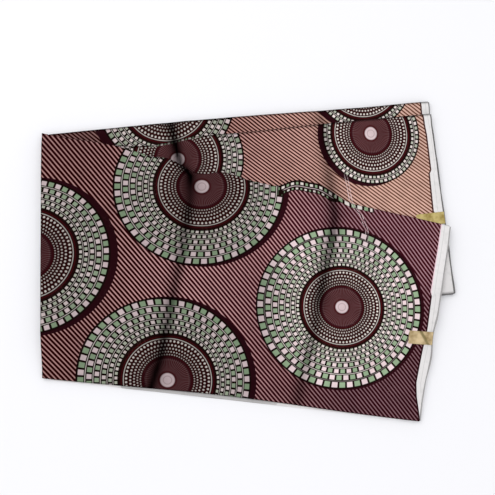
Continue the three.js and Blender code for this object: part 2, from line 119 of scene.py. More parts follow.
# Pressed creases, from the far side to the near side: their places, and how dark their painted shade is in
# each place
CREASES = [
    {
        "depth": 1.0,
        "half_width": 17.0,
        "y": [215.0, 170.0, 140.0, 118.0, 90.0, 18.0, -82.0, -150.0, -195.0],
        "x": [-114.0, -104.0, -96.0, -80.0, -78.0, -87.0, -105.0, -117.0, -131.0],
        "shade": [0.8, 1.1, 1.1, 0.95, 0.9, 0.6, 0.75, 1.0, 1.1],
    },
    {
        "depth": 0.85,
        "half_width": 20.0,
        "y": [230.0, 120.0, 55.0, 20.0, -60.0, -122.0, -225.0],
        "x": [116.0, 127.0, 134.0, 128.0, 110.0, 99.0, 71.0],
        "shade": [0.4, 0.6, 0.8, 0.9, 0.8, 0.65, 0.5],
    },
    {
        "depth": 0.35,
        "half_width": 9.0,
        "y": [232.0, 120.0, 105.0, 78.0, 64.0, 58.0, 32.0, -60.0, -232.0],
        "x": [176.0, 151.0, 154.0, 158.0, 164.0, 171.0, 179.0, 171.0, 152.0],
        "shade": [0.1, 0.1, 0.1, 0.1, 0.1, 0.1, 0.1, 0.1, 0.1],
    },
]
DARKEST_CREASE = 1.1
# A crease's painted shade, a wide soft band and its core beside the middle: share, fall and place in half
# widths
CREASE_BAND = {"share": 0.74, "fall": 2.3, "at": 0.0}
CREASE_CORE = {"share": 0.32, "fall": 9.0, "at": 0.1}
UNEVEN_SHADE = {"share": 0.35, "size": 34.0, "layer": 11.0}
# Where the last crease is worn to pale lines: its share over Y, and the lines' places beside its middle
WORN = {"y": [130.0, 105.0, 78.0, 32.0, 0.0], "share": [0.0, 0.8, 0.9, 0.6, 0.0]}
WORN_LINES = (0.0, 3.6)

# How the settled cloth departs from the part's plain levels, in shares of the height above the table
TROUGH = {"share": 0.10, "fall": 2.0}
RIDGE = {"share": 0.05, "fall": 3.0, "at": 1.5}  # beside a crease, in its half widths
UNEVEN_RELIEF = {"share": 0.5, "size": 60.0, "layer": 7.0}
RIPPLES = [(95.0, 0.11), (38.0, 0.05)]  # size in plan, share of the height

# A panel's mesh
ROWS_ON_RUN = 74
ROW_GRADING = 0.6  # how much closer the rows lie near the folds
ROW_LEAD = 1.0  # from a turned edge's last row to the run's first
COLUMN_STEP = 4.4
NOSE_STEPS = 12
HALF_FOLD_STEPS = 6
SELVEDGE_COLUMNS = [0.0, 1.2, 3.0, 5.5, 8.5, 12.0]  # distances in from the right edge
OVERHANG_REACH = 14.0  # how far in the lower ply starts to lie further out
SELVEDGE_WAVE = {"size": 26.0, "layer": 3.0, "lower_at": 40.0, "upper": 0.5, "lower": 1.1, "reach": 16.0}
SHARP_ANGLE = 50.0

# The print on each panel: its turn against the frame, and its discs, as the place of the pale centre,
# the rows of tiles, the size, the stretch across, how far the outer rows drift back, and how far the
# dark backing reaches past the tiles at one side
FRONT_TURN = -9.8
OTHER_TURN = 187.4
DISC_COLUMNS = ("x", "y", "rows", "size", "stretch", "drift", "backing")
FRONT_DISCS = [
    (-312.9, -3.7, 5.0, 1.185, 0.055, 0.0, 7.0),
    (-61.1, 100.1, 6.0, 1.12, 0.055, 4.8, 5.0),
    (-105.8, -181.5, 6.0, 1.065, 0.078, 6.5, 5.5),
    (141.1, -79.5, 7.0, 0.976, 0.022, 4.8, 2.4),
]
MIDDLE_DISCS = [
    (-98.1, 144.3, 4.0, 1.125, 0.0, 0.0, 8.0),
    (193.3, 185.0, 2.0, 1.1, -0.09, 0.0, 6.5),
]
BACK_DISCS = [
    (-117.5, 239.0, 4.0, 1.19, 0.0, 0.0, 9.0),
    (182.6, 268.1, 2.0, 1.02, 0.0, 0.0, 7.0),
]
HIDDEN_DISCS = [
    (131.0, -345.0, 7.0, 1.0, 0.0, 0.0, 5.0),
    (-190.0, 30.0, 7.0, 1.0, 0.0, 0.0, 5.0),
    (40.0, 90.0, 6.0, 1.1, 0.0, 0.0, 5.0),
    (180.0, -80.0, 7.0, 1.0, 0.0, 0.0, 5.0),
    (-60.0, -150.0, 6.0, 1.1, 0.0, 0.0, 5.0),
]

# The disc's chart, in millimetres from its centre at size 1. Most pairs are a place or a half width and how
# soft its edge is. DARK_RING and the reach of the dashes are from and to
DISC_PLACE = ("X", "Y", "Rows", "Drift", "Shift")
DISC_TINTS = ("Pink", "Green", "Cream", "Ground", "Heart", "Backing")
DIVISIONS = 66
PARITY = (0.5, 0.1)
FIRST_ROW = 59.8
ROW_GROWTH = 1.1015
ROW_EDGE = (0.0, 0.02)
DISC_EDGE = (0.06, 0.03)
# Half a tile in shares of its cell in the first row, what each row adds, and how soft its edge is
TILE_HEIGHT = (0.25, 0.016, 0.035)
TILE_WIDTH = (0.302, 0.011, 0.03)
CREAMY = {"rows": (2.6, 2.4), "share": 0.75, "green": 0.4}
ROW_LINE = {"at": (0.45, 0.02), "first": (0.6, 0.1), "last": (-0.4, 0.1), "share": 0.8}
LINES_FADE = {"past": (5.5, 0.1), "share": 0.75}
FIRST_DOTS = 31.5
DOT_GROWTH = 1.112
DOT_ROWS = 5.0
DOT_RADIUS = (0.27, 0.07)
DOT_SHARE = (0.5, 0.09)  # in the first row, and what each row adds
THIN_LINE = {"radius": 54.2, "half": (0.55, 0.25), "share": 0.7}
DARK_RING = (55.8, 57.5)
RING_SOFT = 0.3
BAND_SHARE = 0.15  # how red the band between the ring and the tiles is
DOT_GROUND = {"past": 0.5, "share": 0.6}
HEART_RADIUS = (30.9, 0.5)
HEART_RIM = {"from": 3.4, "to": 0.4, "soft": 0.5, "share": 0.6}
DASHES = {"reach": (11.5, 28.0), "soft": 1.5, "wide": (0.25, 0.15), "share": 0.085}
FAINT_RING = {"radius": 26.5, "half": (0.7, 0.4), "share": 0.02}
CENTRE = {"radius": (9.0, 0.9), "share": 0.85}
CENTRE_RING = {"radius": 5.2, "half": (0.6, 0.4), "share": 0.3}
BACKING_RIM = (0.2, 0.03)  # how far the backing shows all round, in rows
BACKING_SLANT = 0.15

# Rows of tiles along a far fold: from and to in X, distance in from the fold, tile size and pitch
FRONT_STRIPS = [
    {"x": (52.5, 137.0), "in": 5.2, "tile": (4.4, 3.8), "pitch": 7.0},
    {"x": (61.0, 128.0), "in": 13.4, "tile": (3.4, 2.7), "pitch": 6.4},
    {"x": (137.0, 190.5), "in": 3.4, "tile": (6.6, 5.6), "pitch": 9.3},
]
MIDDLE_STRIPS = [{"x": (-141.0, -62.0), "in": 2.0, "tile": (3.4, 3.0), "pitch": 5.2}]
STRIP_TILE = {"odd_less": 0.07, "soft": (0.04, 0.3, 1.0), "share": 0.9, "offset": 100.0}
STRIP_LINE = {"x": (60.0, 133.0), "x_soft": 2.0, "in": 9.4, "half": (0.55, 0.25), "share": 0.7}
STRIP_GROUND = {
    "x": (51.5, 193.0),
    "x_soft": 1.5,
    "deep": 16.2,
    "shallow": 6.8,
    "narrows": (138.0, 10.0),
    "edge": (0.0, 0.4),
}

# Stripes: on the front panel they run towards one far point, on the others they are parallel
FAR_POINT = {"away": 2480.0, "heading": -51.0, "from": (-25.0, 0.0)}
FAN_STEP = 0.00201  # radians from one stripe to the next
STRIPE_PERIOD = 4.52
STRIPE_HEADING = -38.0
STRIPE_WANDER = 0.2
STRIPE_SOFT = 0.06
SHARE_CHANGES = (60.0, 160.0)  # where in X the pale stripes' share changes, and over how far

# The printed edge at the right, as X over Y, and the white selvedge past it
FRONT_PRINT_EDGE = {
    "y": [42.5, -67.6, -111.0, -142.0, -171.2, -185.6, -204.7, -223.8, -237.8],
    "x": [293.2, 269.4, 261.8, 253.6, 246.7, 243.4, 243.0, 245.3, 246.7],
}
MIDDLE_PRINT_EDGE = {
    "y": [217.0, 182.6, 121.3, 63.5, 30.0, -60.0],
    "x": [273.7, 278.3, 282.1, 284.8, 284.5, 276.0],
}
BACK_PRINT_EDGE = {"y": [237.8, 182.6, 30.0, -52.0], "x": [272.1, 276.0, 282.0, 276.0]}
BARE_STEP = 3.0  # a bare panel of the selvedge reaches this much further into the print
FRONT_BARE = (-61.0, 46.0)
MIDDLE_BARE = (62.0, 124.0)
SELVEDGE_WHITE = {"past": (0.15, 0.25), "colour": "#e4e1e0"}
EDGE_LINE = {"soft": 0.25, "share": 0.92}
PINK_LINE = {"past": (0.1, 1.5), "soft": 0.25, "share": 0.8, "colour": "#e9c6d0", "start_soft": 0.5}
# The next ply's edge showing through the selvedge, a grey line of painted shade
NEXT_PLY = {"at": 6.4, "half": (0.3, 0.3), "wander": 2.0, "share": 0.45, "colour": "#9da39c"}
SMUDGE = {"past": (1.2, 0.4), "share": 0.14}

# Colours. pale and dark are the stripes' colours over X: the print's own colours, with painted light and
# shade that change along X.
# pale_share is the pale half width at the left and at the right
SHARED_COLOURS = {
    "pink": "#eed8da",
    "green": "#98b08e",
    "cream": "#f0e6de",
    "ground": "#1b0f0d",
    "heart": "#461216",
    "backing": "#2e0f16",
    "crease_shade": 0.92,
    "fold_shade": 0.5,
    "fold_reach": 1.6,
    "rope": 0.0,
}
FRONT_PALETTE = {
    **SHARED_COLOURS,
    "pale": [(-270.0, "#a57c78"), (-60.0, "#cb9b9a"), (40.0, "#c39293"), (170.0, "#ae838b")],
    "dark": [(-200.0, "#240305"), (160.0, "#3c1019")],
    "pale_share": (0.175, 0.168),
    "low_right_shade": 0.4,
    "left_disc_shade": 0.39,
    "edge_line": 2.0,
    "pink_above": -61.0,
}
MIDDLE_PALETTE = {
    **SHARED_COLOURS,
    "green": "#93a489",
    "fold_shade": 0.8,
    "fold_reach": 3.2,
    "rope": 0.4,
    "pale": [(-260.0, "#8c6a66"), (-60.0, "#c8968f"), (60.0, "#d2a297"), (240.0, "#dcb5a5")],
    "dark": [(-150.0, "#240404"), (60.0, "#300705"), (240.0, "#6a3c2a")],
    "pale_share": (0.205, 0.27),
    "low_right_shade": 0.0,
    "left_disc_shade": 0.27,
    "edge_line": 2.2,
    "pink_above": 999.0,  # nowhere
}
BACK_PALETTE = {
    **MIDDLE_PALETTE,
    "pale": [(-260.0, "#8a6764"), (-60.0, "#bd8d85"), (60.0, "#ce9f93"), (240.0, "#e3bbaa")],
}
# The hidden layers' tiles in darker, greyer tints: painted shade for the cloth that lies between the panels
HIDDEN_PALETTE = {**FRONT_PALETTE, "pink": "#a8979b", "cream": "#b5aaa6", "green": "#76897a"}

# The cloth's surface. A speckle is the scale and detail of its noise, and where and how softly it starts
SPECKLES = {
    "wander": (30.0, 2.0, 0.5, 0.5),
    "veined": (18.0, 3.0, 0.62, 0.08),
    "dye": (55.0, 4.0, 0.5, 0.25),
    "worn": (260.0, 2.0, 0.45, 0.15),
    "smudge": (120.0, 3.0, 0.58, 0.1),
    "rope": (210.0, 2.0, 0.53, 0.05),
    "mottle": (9.0, 3.0, 0.5, 0.25),
    "fibre": (900.0, 2.0, 0.5, 0.5),
}
WANDER = 0.5
CRACKLE = {"scale": 170.0, "half": (0.02, 0.02), "share": 0.2}
DYE = {"share": 0.16, "colour": (0.01, 0.002, 0.002, 1)}
MOTTLE = 0.16  # how much darker the cloth's random patches are, painted shade of faint wrinkles
WORN_LINE = {"half": (0.5, 0.4), "wander": 1.6, "middle": 0.8}
# Painted shade along the folds: how far it wanders and how soft it is, and the rope, paler dashes that
# break it up
FOLD_WANDER = 1.5
FOLD_SOFT = 0.8  # in shares of the fold's dark reach
ROPE = {"from": 0.5, "soft": 0.4}
# Painted shade, darker low at the right: its Y and X ranges, and where it stops short of the selvedge
LOW_RIGHT = {"y": (-75.0, 75.0), "x": (20.0, 110.0), "past": (0.2, 0.3)}
# Painted shade on the discs left of this X, over this soft stretch
LEFT_DISCS = (50.0, 40.0)
THREAD = 0.42  # from one thread of the weave to the next
WEAVE = {"strength": 0.25, "depth": 0.12, "roughness": 0.7, "specular": 0.0}

# Labels
LABEL_WALL = 0.5
LABEL_AIR = 0.55
LABEL_STEPS = {"across": 15, "on_top": 30, "round": 9}
FOIL_PAPER = 0.18
FOIL_CRUMPLES = [(4.5, 2.0, 0.28), (2.0, 5.0, 0.2)]  # size in plan, layer of noise, height
FRONT_LABEL = {"on_top": 32.5, "depth": 18.0, "y": -124.0, "turn": -0.07, "under": 1.2}
BACK_LABEL = {"on_top": 40.0, "depth": 18.0, "y": 53.5, "turn": 0.12, "under": 0.6}
FOIL = {
    "gold": ("#8a7433", "#c9b878"),
    "tan": ("#8a7449", "#cdb78f"),
    "grain": (90.0, 5.0, 0.5, 0.22),
    "front_below": (-40.0, 5.0),
    "crumple": 260.0,
    "strength": 0.5,
    "depth": 0.6,
    "metallic": 0.55,
    "roughness": 0.38,
}
# Painted shade along a fold in the front label: its X, slant, half width, share and colour
FOIL_FOLD_SHADE = {"x": 257.5, "slant": 0.5, "half": (2.2, 1.4), "share": 0.7, "colour": "#5d5526"}

# The hidden layers: how far they stay inside the panels' edges, their spine at the left, and their stacks
INSET = {
    "side": 4.0,
    "far_fold": 3.4,
    "near_fold": 11.5,
    "spine_far": 11.0,
    "front_far": 24.0,
    "middle_far": 20.0,
    "front_near": 9.5,
}
SPINE = (1.6, 8.6)
PAST_NEAR = 9.0
PAST_START = 1.2
RIM_SHOWS = 2.6
RIM_DEEP = 26.0
LEVELS_A_LAYER = 4
LAYER_GROOVE = 0.5
LAYER_STAGGER = 1.3
LAYER_WAVE = 45.0
STACKS = {
    "lower": {"cells": (60, 30), "layers": 4, "seed": 1.0},
    "spine": {"cells": (3, 50), "layers": 11, "seed": 20.0},
    "upper": {"cells": (60, 34), "layers": 6, "seed": 40.0},
    "front": {"cells": (60, 24), "layers": 6, "seed": 60.0},
    "rim": {"cells": (70, 4), "layers": 3, "seed": 80.0},
}
HIDDEN_SELVEDGE = 30.0  # how far in from the sides the hidden layers are white
PLAIN_RIM = 9.0  # how far in from the near fold they are plain
PLAIN = 20.0  # a distance past the print that is white for sure

# Free selvedges of the hidden plies, made with Geometry Nodes along the right sides
PLY_INPUTS = {"Stagger": 1.7 * MM, "Wave": 22.0, "Width": 10.0 * MM, "Thickness": PLY * MM, "Seed": 5.0}
PLY_PITCH = 0.55
PLY_POINTS = 70
PLY_PAST = 1.0  # how far the stacks' edges stand past the side
PLY_RUNS = {"front": -64.0, "upper": (15.0, -56.0), "back": (231.0, -40.0)}
PLY_FIELDS = {"cloth_facts": (PLAIN * MM, 0.0, 0.0), "fold_facts": (1.0, 1.0, 1.0)}
PLY_NOISE_STEP = 7.3  # from one ply to the next along the noise's fourth axis
PLY_SPREAD = 4.0  # how many times the stagger the noise's whole range is


def lerp(a, b, t):
    return a + (b - a) * t


def smooth(value, low, high):
    """0 at low and 1 at high, with soft ends; low may be the larger one."""
    t = np.clip((value - low) / (high - low), 0, 1)
    return t * t * (3 - 2 * t)


def hump(offset, half_width):
    return 0.5 * (1 + np.cos(np.pi * np.minimum(np.abs(offset) / half_width, 1)))


def waves_at(place, waves):
    return sum(out * hump(place - middle, half_width) for middle, half_width, out in waves)


def fold_line(left, right, waves=()):
    """The Y of a folded edge over X."""
    return lambda x: lerp(left[1], right[1], (x - left[0]) / (right[0] - left[0])) + waves_at(x, waves)


def side_line(far, near, waves=()):
    """The X of a side over Y."""
    return lambda y: lerp(far[0], near[0], (y - far[1]) / (near[1] - far[1])) + waves_at(y, waves)


def over_y(y, table, column):
    """A table's column at Y, where its rows run from the far side to the near side."""
    return np.interp(-y, [-v for v in table["y"]], table[column])


def soft_noise(x, y, size, layer=0.0):
    """Smooth noise from about -1 to 1, with bumps of that size in plan."""
    x, y = np.broadcast_arrays(np.asarray(x, float), np.asarray(y, float))
    flat = zip(x.ravel() / size, y.ravel() / size)
    return np.array([noise.noise((a, b, layer)) for a, b in flat]).reshape(x.shape)


def unevenness(x, y, kind):
    return 1 + kind["share"] * soft_noise(x, y, kind["size"], kind["layer"])


back_fold = fold_line(BACK["far_left"], BACK["far_right"], BACK_FOLD_WAVES)
back_near = fold_line(BACK["near_left"], BACK["near_right"])
middle_fold = fold_line(MIDDLE["far_left"], MIDDLE["far_right"], MIDDLE_FOLD_WAVES)
middle_near = fold_line(MIDDLE["near_left"], MIDDLE["near_right"])
front_fold = fold_line(FRONT["far_left"], FRONT["far_right"], FRONT_FOLD_WAVES)
front_near = fold_line(FRONT["near_left"], FRONT["near_right"], FRONT_NEAR_WAVES)
back_left = side_line(BACK["far_left"], BACK["near_left"])
middle_left = side_line(MIDDLE["far_left"], MIDDLE["near_left"])
front_left = side_line(FRONT["far_left"], FRONT["near_left"])
back_right = side_line(BACK["far_right"], BACK["near_right"])
middle_right = side_line(MIDDLE["far_right"], MIDDLE["near_right"])
front_right = side_line(FRONT["far_right"], FRONT["near_right"], FRONT_SIDE_WAVES)


def crease_offsets(x, y):
    """For each crease, its depth and the distance to its middle in half widths."""
    for crease in CREASES:
        yield crease["depth"], (x - over_y(y, crease, "x")) / crease["half_width"]


def pressed(x, y):
    """How deep the creases press a panel, as a share of 1."""
    share = sum(depth * np.exp(-2 * offset**2) for depth, offset in crease_offsets(x, y))
    return np.minimum(share, 1)


def crease_shade_and_wear(x, y):
    """How dark the creases' painted shade is at a place, how worn the last one is, and the distance to its
    middle.
    """
    dark = 0
    uneven = unevenness(x, y, UNEVEN_SHADE)
    for crease, (_, offset) in zip(CREASES, crease_offsets(x, y)):
        band = sum(
            part["share"] * np.exp(-part["fall"] * (offset - part["at"]) ** 2)
            for part in (CREASE_BAND, CREASE_CORE)
        )
        dark = dark + over_y(y, crease, "shade") * uneven * band
    return np.clip(dark, 0, DARKEST_CREASE), over_y(y, WORN, "share"), offset * CREASES[-1]["half_width"]


def relief(x, y):
    """What the settled cloth's height is multiplied by: troughs, the ridges beside them, and ripples."""
    rise = sum(size * soft_noise(x, y, length, length) for length, size in RIPPLES)
    uneven = unevenness(x, y, UNEVEN_RELIEF)
    for depth, offset in crease_offsets(x, y):
        rise = rise - TROUGH["share"] * depth * uneven * np.exp(-TROUGH["fall"] * offset**2)
        for side in (-1, 1):
            beside = offset - side * RIDGE["at"]
            rise = rise + RIDGE["share"] * depth * uneven * np.exp(-RIDGE["fall"] * beside**2)
    return 1 + rise


def level_at(height):
    return lambda x, y: height + 0.0 * np.asarray(x)


def fold_lift(inwards, reach=LIFT):
    return FOLD_LIFT * (1 - smooth(inwards, *reach))


def back_under(x, y):
    return BACK_LEVEL + SLACK * (1 - pressed(x, y)) + fold_lift(back_fold(x) - y)


def middle_under(x, y):
    return MIDDLE_LEVEL + SLACK * (1 - pressed(x, y)) + fold_lift(middle_fold(x) - y)


def front_rest(x, y):
    """What the front panel's far fold lies on: the middle panel and its label, or the back panel."""
    inwards = middle_fold(x) - y
    on_middle = MIDDLE_LEVEL + SLACK + WALL + fold_lift(inwards, REST_LIFT)
    on_back = BACK_LEVEL + SLACK + WALL + fold_lift(back_fold(x) - y, REST_LIFT)
    over_middle = smooth(inwards, REST_DROP[1], REST_DROP[0])
    label_start = middle_right(BACK_LABEL["y"]) - BACK_LABEL["on_top"]
    over_label = smooth(x, label_start - LABEL_RISE[0], label_start - LABEL_RISE[1])
    return lerp(on_back, on_middle, over_middle) + over_label * (LABEL_AIR + LABEL_WALL)


def front_level(x, y, held_back, slack):
    share = (y - held_back - front_near(x)) / (middle_near(x) - front_near(x))
    on_lower = smooth(share, STEP[1], STEP[0])
    flat = lerp(FRONT_LAYERS, UPPER_TOP, on_lower) + GAP + slack
    climbed = smooth(front_fold(x) - y - held_back, *FAR_RISE)
    fallen = smooth(y - front_near(x) - held_back, *NEAR_FALL)
    far = front_rest(x, y) + OVER_TURNED_EDGE
    return lerp(RIM_LAYERS + OVER_TURNED_EDGE, lerp(far, flat, climbed), fallen)


def front_under(x, y):
    return front_level(x, y, 0.0, FRONT_SLACK * (1 - pressed(x, y)))


def upper_top(x, y):
    return front_level(x, y, HELD_BACK, 0.0) - GAP


def patch(corners, far, near, left, right):
    """A point in plan inside four edges: share across from the left, share along from the far side."""
    far_left, far_right, near_right, near_left = (corners[corner] for corner in CORNERS)

    def place(across, along):
        far_x = lerp(far_left[0], far_right[0], across)
        near_x = lerp(near_left[0], near_right[0], across)
        far_y = lerp(far_left[1], far_right[1], across)
        near_y = lerp(near_left[1], near_right[1], across)
        left_y = lerp(far_left[1], near_left[1], along)
        right_y = lerp(far_right[1], near_right[1], along)
        left_wave = left(left_y) - lerp(far_left[0], near_left[0], along)
        right_wave = right(right_y) - lerp(far_right[0], near_right[0], along)
        x = lerp(far_x, near_x, along) + lerp(left_wave, right_wave, across)
        y = lerp(far_y, near_y, along) + lerp(far(far_x) - far_y, near(near_x) - near_y, along)
        return x, y

    return place


def mesh_object(name, points, faces, attributes=None, edges=()):
    """A mesh in metres from points in millimetres. attributes are vectors, one for each point."""
    mesh = bpy.data.meshes.new(name)
    mesh.from_pydata((np.asarray(points) * MM).tolist(), edges, faces)
    for label, values in (attributes or {}).items():
        layer = mesh.attributes.new(label, "FLOAT_VECTOR", "POINT")
        layer.data.foreach_set("vector", np.asarray(values, np.float32).ravel())
    mesh.validate()
    mesh.shade_smooth()
    made = bpy.data.objects.new(name, mesh)
    bpy.context.scene.collection.objects.link(made)
    return made


def grid_faces(columns, rows):
    faces = []
    for i in range(columns - 1):
        for j in range(rows - 1):
            corner = i * rows + j
            faces.append((corner, corner + 1, corner + rows + 1, corner + rows))
    return faces


def plain(made):
    """The object with its modifiers made part of its mesh."""
    graph = bpy.context.evaluated_depsgraph_get()
    mesh = bpy.data.meshes.new_from_object(made.evaluated_get(graph))
    mesh.name = made.name
    made.modifiers.clear()
    made.data = mesh
    return made


def thickened(made, thickness):
    wall = made.modifiers.new("ply", "SOLIDIFY")
    wall.thickness = thickness * MM
    wall.offset = 0
    plain(made)
    made.data.set_sharp_from_angle(angle=math.radians(SHARP_ANGLE))
    return made


def folded_end(place_from, height, under, rest):
    """Rows of a turned edge, from its tucked end to the top of its nose, for one height within the wall.

    Each row is the distance in from the edge, the height, and the same distance on the flat cloth."""
    edge = place_from(np.zeros_like(height))
    low = rest(*edge) + GAP
    high = under(*edge) + WALL
    radius = (high - low) / 2
    ply_radius = radius - WALL * (1 - height)
    low_tucked = rest(*place_from(radius + TUCK)) + GAP
    rows = []
    for share in (1.0, 0.5):
        inwards = radius + TUCK * share
        base = lerp(low, low_tucked, share)
        rows.append((inwards, base + WALL * (1 - height), radius - np.pi * ply_radius - TUCK * share))
    for i in range(NOSE_STEPS + 1):
        turn = np.pi * i / NOSE_STEPS
        inwards = radius - ply_radius * np.sin(turn)
        z = low + radius - ply_radius * np.cos(turn)
        rows.append((inwards, z, radius - ply_radius * (np.pi - turn)))
    return rows


def doubled_columns(width):
    """The columns of a doubled panel, from the upper ply's selvedge round the half fold and back below:
    distance in from the left, height within the wall, distance from the half fold on the flat cloth,
    and whether it is the lower ply's."""
    bend = (WALL - PLY) / 2
    high_share = 1 - PLY / (2 * WALL)
    count = int((width - SELVEDGE_COLUMNS[-1] - bend) / COLUMN_STEP)
    run = np.linspace(width - SELVEDGE_COLUMNS[-1], bend + PLY / 2, count)
    upper = np.concatenate([width - np.array(SELVEDGE_COLUMNS[:-1]), run])
    turns = np.pi * np.arange(1, HALF_FOLD_STEPS) / HALF_FOLD_STEPS
    inset = np.concatenate([upper, PLY / 2 + bend * (1 - np.sin(turns)), upper[::-1]])
    height = np.concatenate(
        [
            np.full(len(upper), high_share),
            0.5 + (high_share - 0.5) * np.cos(turns),
            np.full(len(upper), 1 - high_share),
        ]
    )
    from_left = np.concatenate([upper, -bend * turns, -upper[::-1] - bend * np.pi])
    is_lower = np.arange(len(inset)) >= len(upper) + len(turns)
    return inset, height, from_left, is_lower


def panel_rows(place, across, long, height, under, far_rest, near_rest):
    """For each column its rows, from the tucked end at the far fold to the near side: distance in from the
    far fold, height, and the same distance on the flat cloth."""

    def from_far(inwards):
        return place(across, inwards / long)

    def from_near(inwards):
        return place(across, 1 - inwards / long)

    section = folded_end(from_far, height, under, far_rest)
    start = section[-1][0] + ROW_LEAD
    near_section = folded_end(from_near, height, under, near_rest) if near_rest else []
    end = near_section[-1][0] + ROW_LEAD if near_rest else np.zeros_like(long)
    for t in np.linspace(0, 1, ROWS_ON_RUN):
        graded = t - ROW_GRADING * math.sin(2 * math.pi * t) / (2 * math.pi)
        inwards = lerp(start, long - end, graded)
        section.append((inwards, under(*from_far(inwards)) + WALL * height, inwards))
    section += [(long - i, z, long - flat) for i, z, flat in reversed(near_section)]
    return [np.array([row[k] for row in section]).T for k in range(3)]


def panel(name, place, under, far_rest, near_rest, print_edge, bare, overhang):
    """A doubled panel as one thin sheet, with its print's own coordinates and what its shading needs."""
    width = place(1.0, 0.0)[0] - place(0.0, 0.0)[0]
    inset, height, from_left, is_lower = doubled_columns(width)
    across = inset / width
    far = place(across, 0.0)
    near = place(across, 1.0)
    long = np.hypot(near[0] - far[0], near[1] - far[1])
    inwards, z, flat = panel_rows(place, across, long, height, under, far_rest, near_rest)

    near_side = np.clip((inset - width + OVERHANG_REACH) / OVERHANG_REACH, 0, 1)
    past = np.where(is_lower, overhang * near_side, 0.0) / width
    x, y = place((across + past)[:, None], inwards / long[:, None])
    # The selvedges wave a little, the lower one on its own
    wave = SELVEDGE_WAVE
    noise_row = np.where(is_lower, wave["lower_at"], 0.0)[:, None] + 0 * y
    wander = soft_noise(y, noise_row, wave["size"], wave["layer"])
    near_edge = np.clip((inset[:, None] - width + wave["reach"]) / wave["reach"], 0, 1)
    x = x + np.where(is_lower[:, None], wave["lower"], wave["upper"]) * wander * near_edge
    z = z * relief(x, y)

    on_print = place((from_left / width)[:, None], flat / long[:, None])
    edge_x = over_y(y, print_edge, "x")
    if bare:
        edge_x = edge_x - BARE_STEP * (y > bare[0]) * (y < bare[1])
    # dark is the creases' painted shade; worn and worn_at are the last crease's real wear
    dark, worn, worn_at = crease_shade_and_wear(x, y)
    nearest = np.minimum(np.minimum(flat, long[:, None] - flat), from_left[:, None])
    looks = {
        "print_place": [on_print[0] * MM, on_print[1] * MM, 0 * x],
        "cloth_facts": [(x - edge_x) * MM, dark, worn],
        "fold_facts": [flat * MM, nearest * MM, worn_at * MM],
    }
    looks = {label: np.stack(values, -1).reshape(-1, 3) for label, values in looks.items()}
    points = np.stack([x, y, z], -1).reshape(-1, 3)
    return thickened(mesh_object(name, points, grid_faces(*x.shape), looks), PLY)


# Shader trees, written as sums
class Wire:
    """One number in a node tree. Sums on it add Math nodes."""

    def __init__(self, tree, socket):
        self.tree = tree
        self.socket = socket

    def maths(self, operation, *others):
        node = self.tree.nodes.new("ShaderNodeMath")
        node.operation = operation
        for slot, value in zip(node.inputs, (self, *others)):
            join(self.tree, value, slot)
        return Wire(self.tree, node.outputs[0])

    def __add__(self, other):
        return self.maths("ADD", other)

    def __sub__(self, other):
        return self.maths("SUBTRACT", other)

    def __mul__(self, other):
        return self.maths("MULTIPLY", other)

    def __truediv__(self, other):
        return self.maths("DIVIDE", other)

    def above(self, edge, soft):
        """0 below the edge and 1 above it, over a soft stretch to each side."""
        node = self.tree.nodes.new("ShaderNodeMapRange")
        node.interpolation_type = "SMOOTHSTEP"
        join(self.tree, self, node.inputs["Value"])
        node.inputs["From Min"].default_value = edge - soft
        node.inputs["From Max"].default_value = edge + soft
        return Wire(self.tree, node.outputs[0])

    def between(self, low, high, soft):
        return self.above(low, soft) * self.above(high, soft).inverse()

    def near(self, place, half, soft):
        """1 within half of a place and 0 past it."""
        return (self - place).maths("ABSOLUTE").above(half, soft).inverse()

    def inverse(self):
        return self * -1.0 + 1.0

    def floor(self):
        return self.maths("FLOOR")

    def part(self):
        return self.maths("FRACT")

    def off_middle(self):
        """How far the part after the point is from a half."""
        return (self.part() - 0.5).maths("ABSOLUTE")

    def is_odd(self):
        return self.floor().maths("MODULO", 2.0).above(*PARITY)


def join(tree, value, slot):
    """Links a wire or a socket to a socket, or sets the socket to a plain value."""
    if isinstance(value, Wire):
        tree.links.new(value.socket, slot)
    elif isinstance(value, bpy.types.NodeSocket):
        tree.links.new(value, slot)
    else:
        slot.default_value = value


def length_of(x, y):
    return (x * x + y * y).maths("SQRT")


def mix_colour(tree, share, first, second, blend_type="MIX"):
    node = tree.nodes.new("ShaderNodeMix")
    node.data_type = "RGBA"
    node.blend_type = blend_type
    join(tree, share, node.inputs[0])
    join(tree, first, node.inputs[6])
    join(tree, second, node.inputs[7])
    return node.outputs[2]


def srgb(text):
    """A colour in linear light from its usual six-digit name."""
    parts = [int(text[i : i + 2], 16) / 255 for i in (1, 3, 5)]
    return tuple([c / 12.92 if c <= 0.04045 else ((c + 0.055) / 1.055) ** 2.4 for c in parts] + [1.0])


def noise_wire(tree, place, scale, detail, edge, soft):
    """Noise over a place, from 0 to 1 over a soft stretch round an edge."""
    node = tree.nodes.new("ShaderNodeTexNoise")
    node.inputs["Scale"].default_value = scale
    node.inputs["Detail"].default_value = detail
    tree.links.new(place, node.inputs["Vector"])
    return Wire(tree, node.outputs["Fac"]).above(edge, soft)


def new_material(name):
    material = bpy.data.materials.new(name)
    material.use_nodes = True
    return material, material.node_tree, material.node_tree.nodes["Principled BSDF"]


def bumped(tree, shader, height, strength, depth):
    """Gives a finish a fine relief. The depth is in millimetres."""
    bump = tree.nodes.new("ShaderNodeBump")
    bump.inputs["Strength"].default_value = strength
    bump.inputs["Distance"].default_value = depth * MM
    join(tree, height, bump.inputs["Height"])
    tree.links.new(bump.outputs["Normal"], shader.inputs["Normal"])


def turned(x, y, degrees):
    """Plan coordinates in a cloth's own axes, which are turned by that angle."""
    c = math.cos(math.radians(degrees))
    s = math.sin(math.radians(degrees))
    return x * c + y * s, y * c - x * s


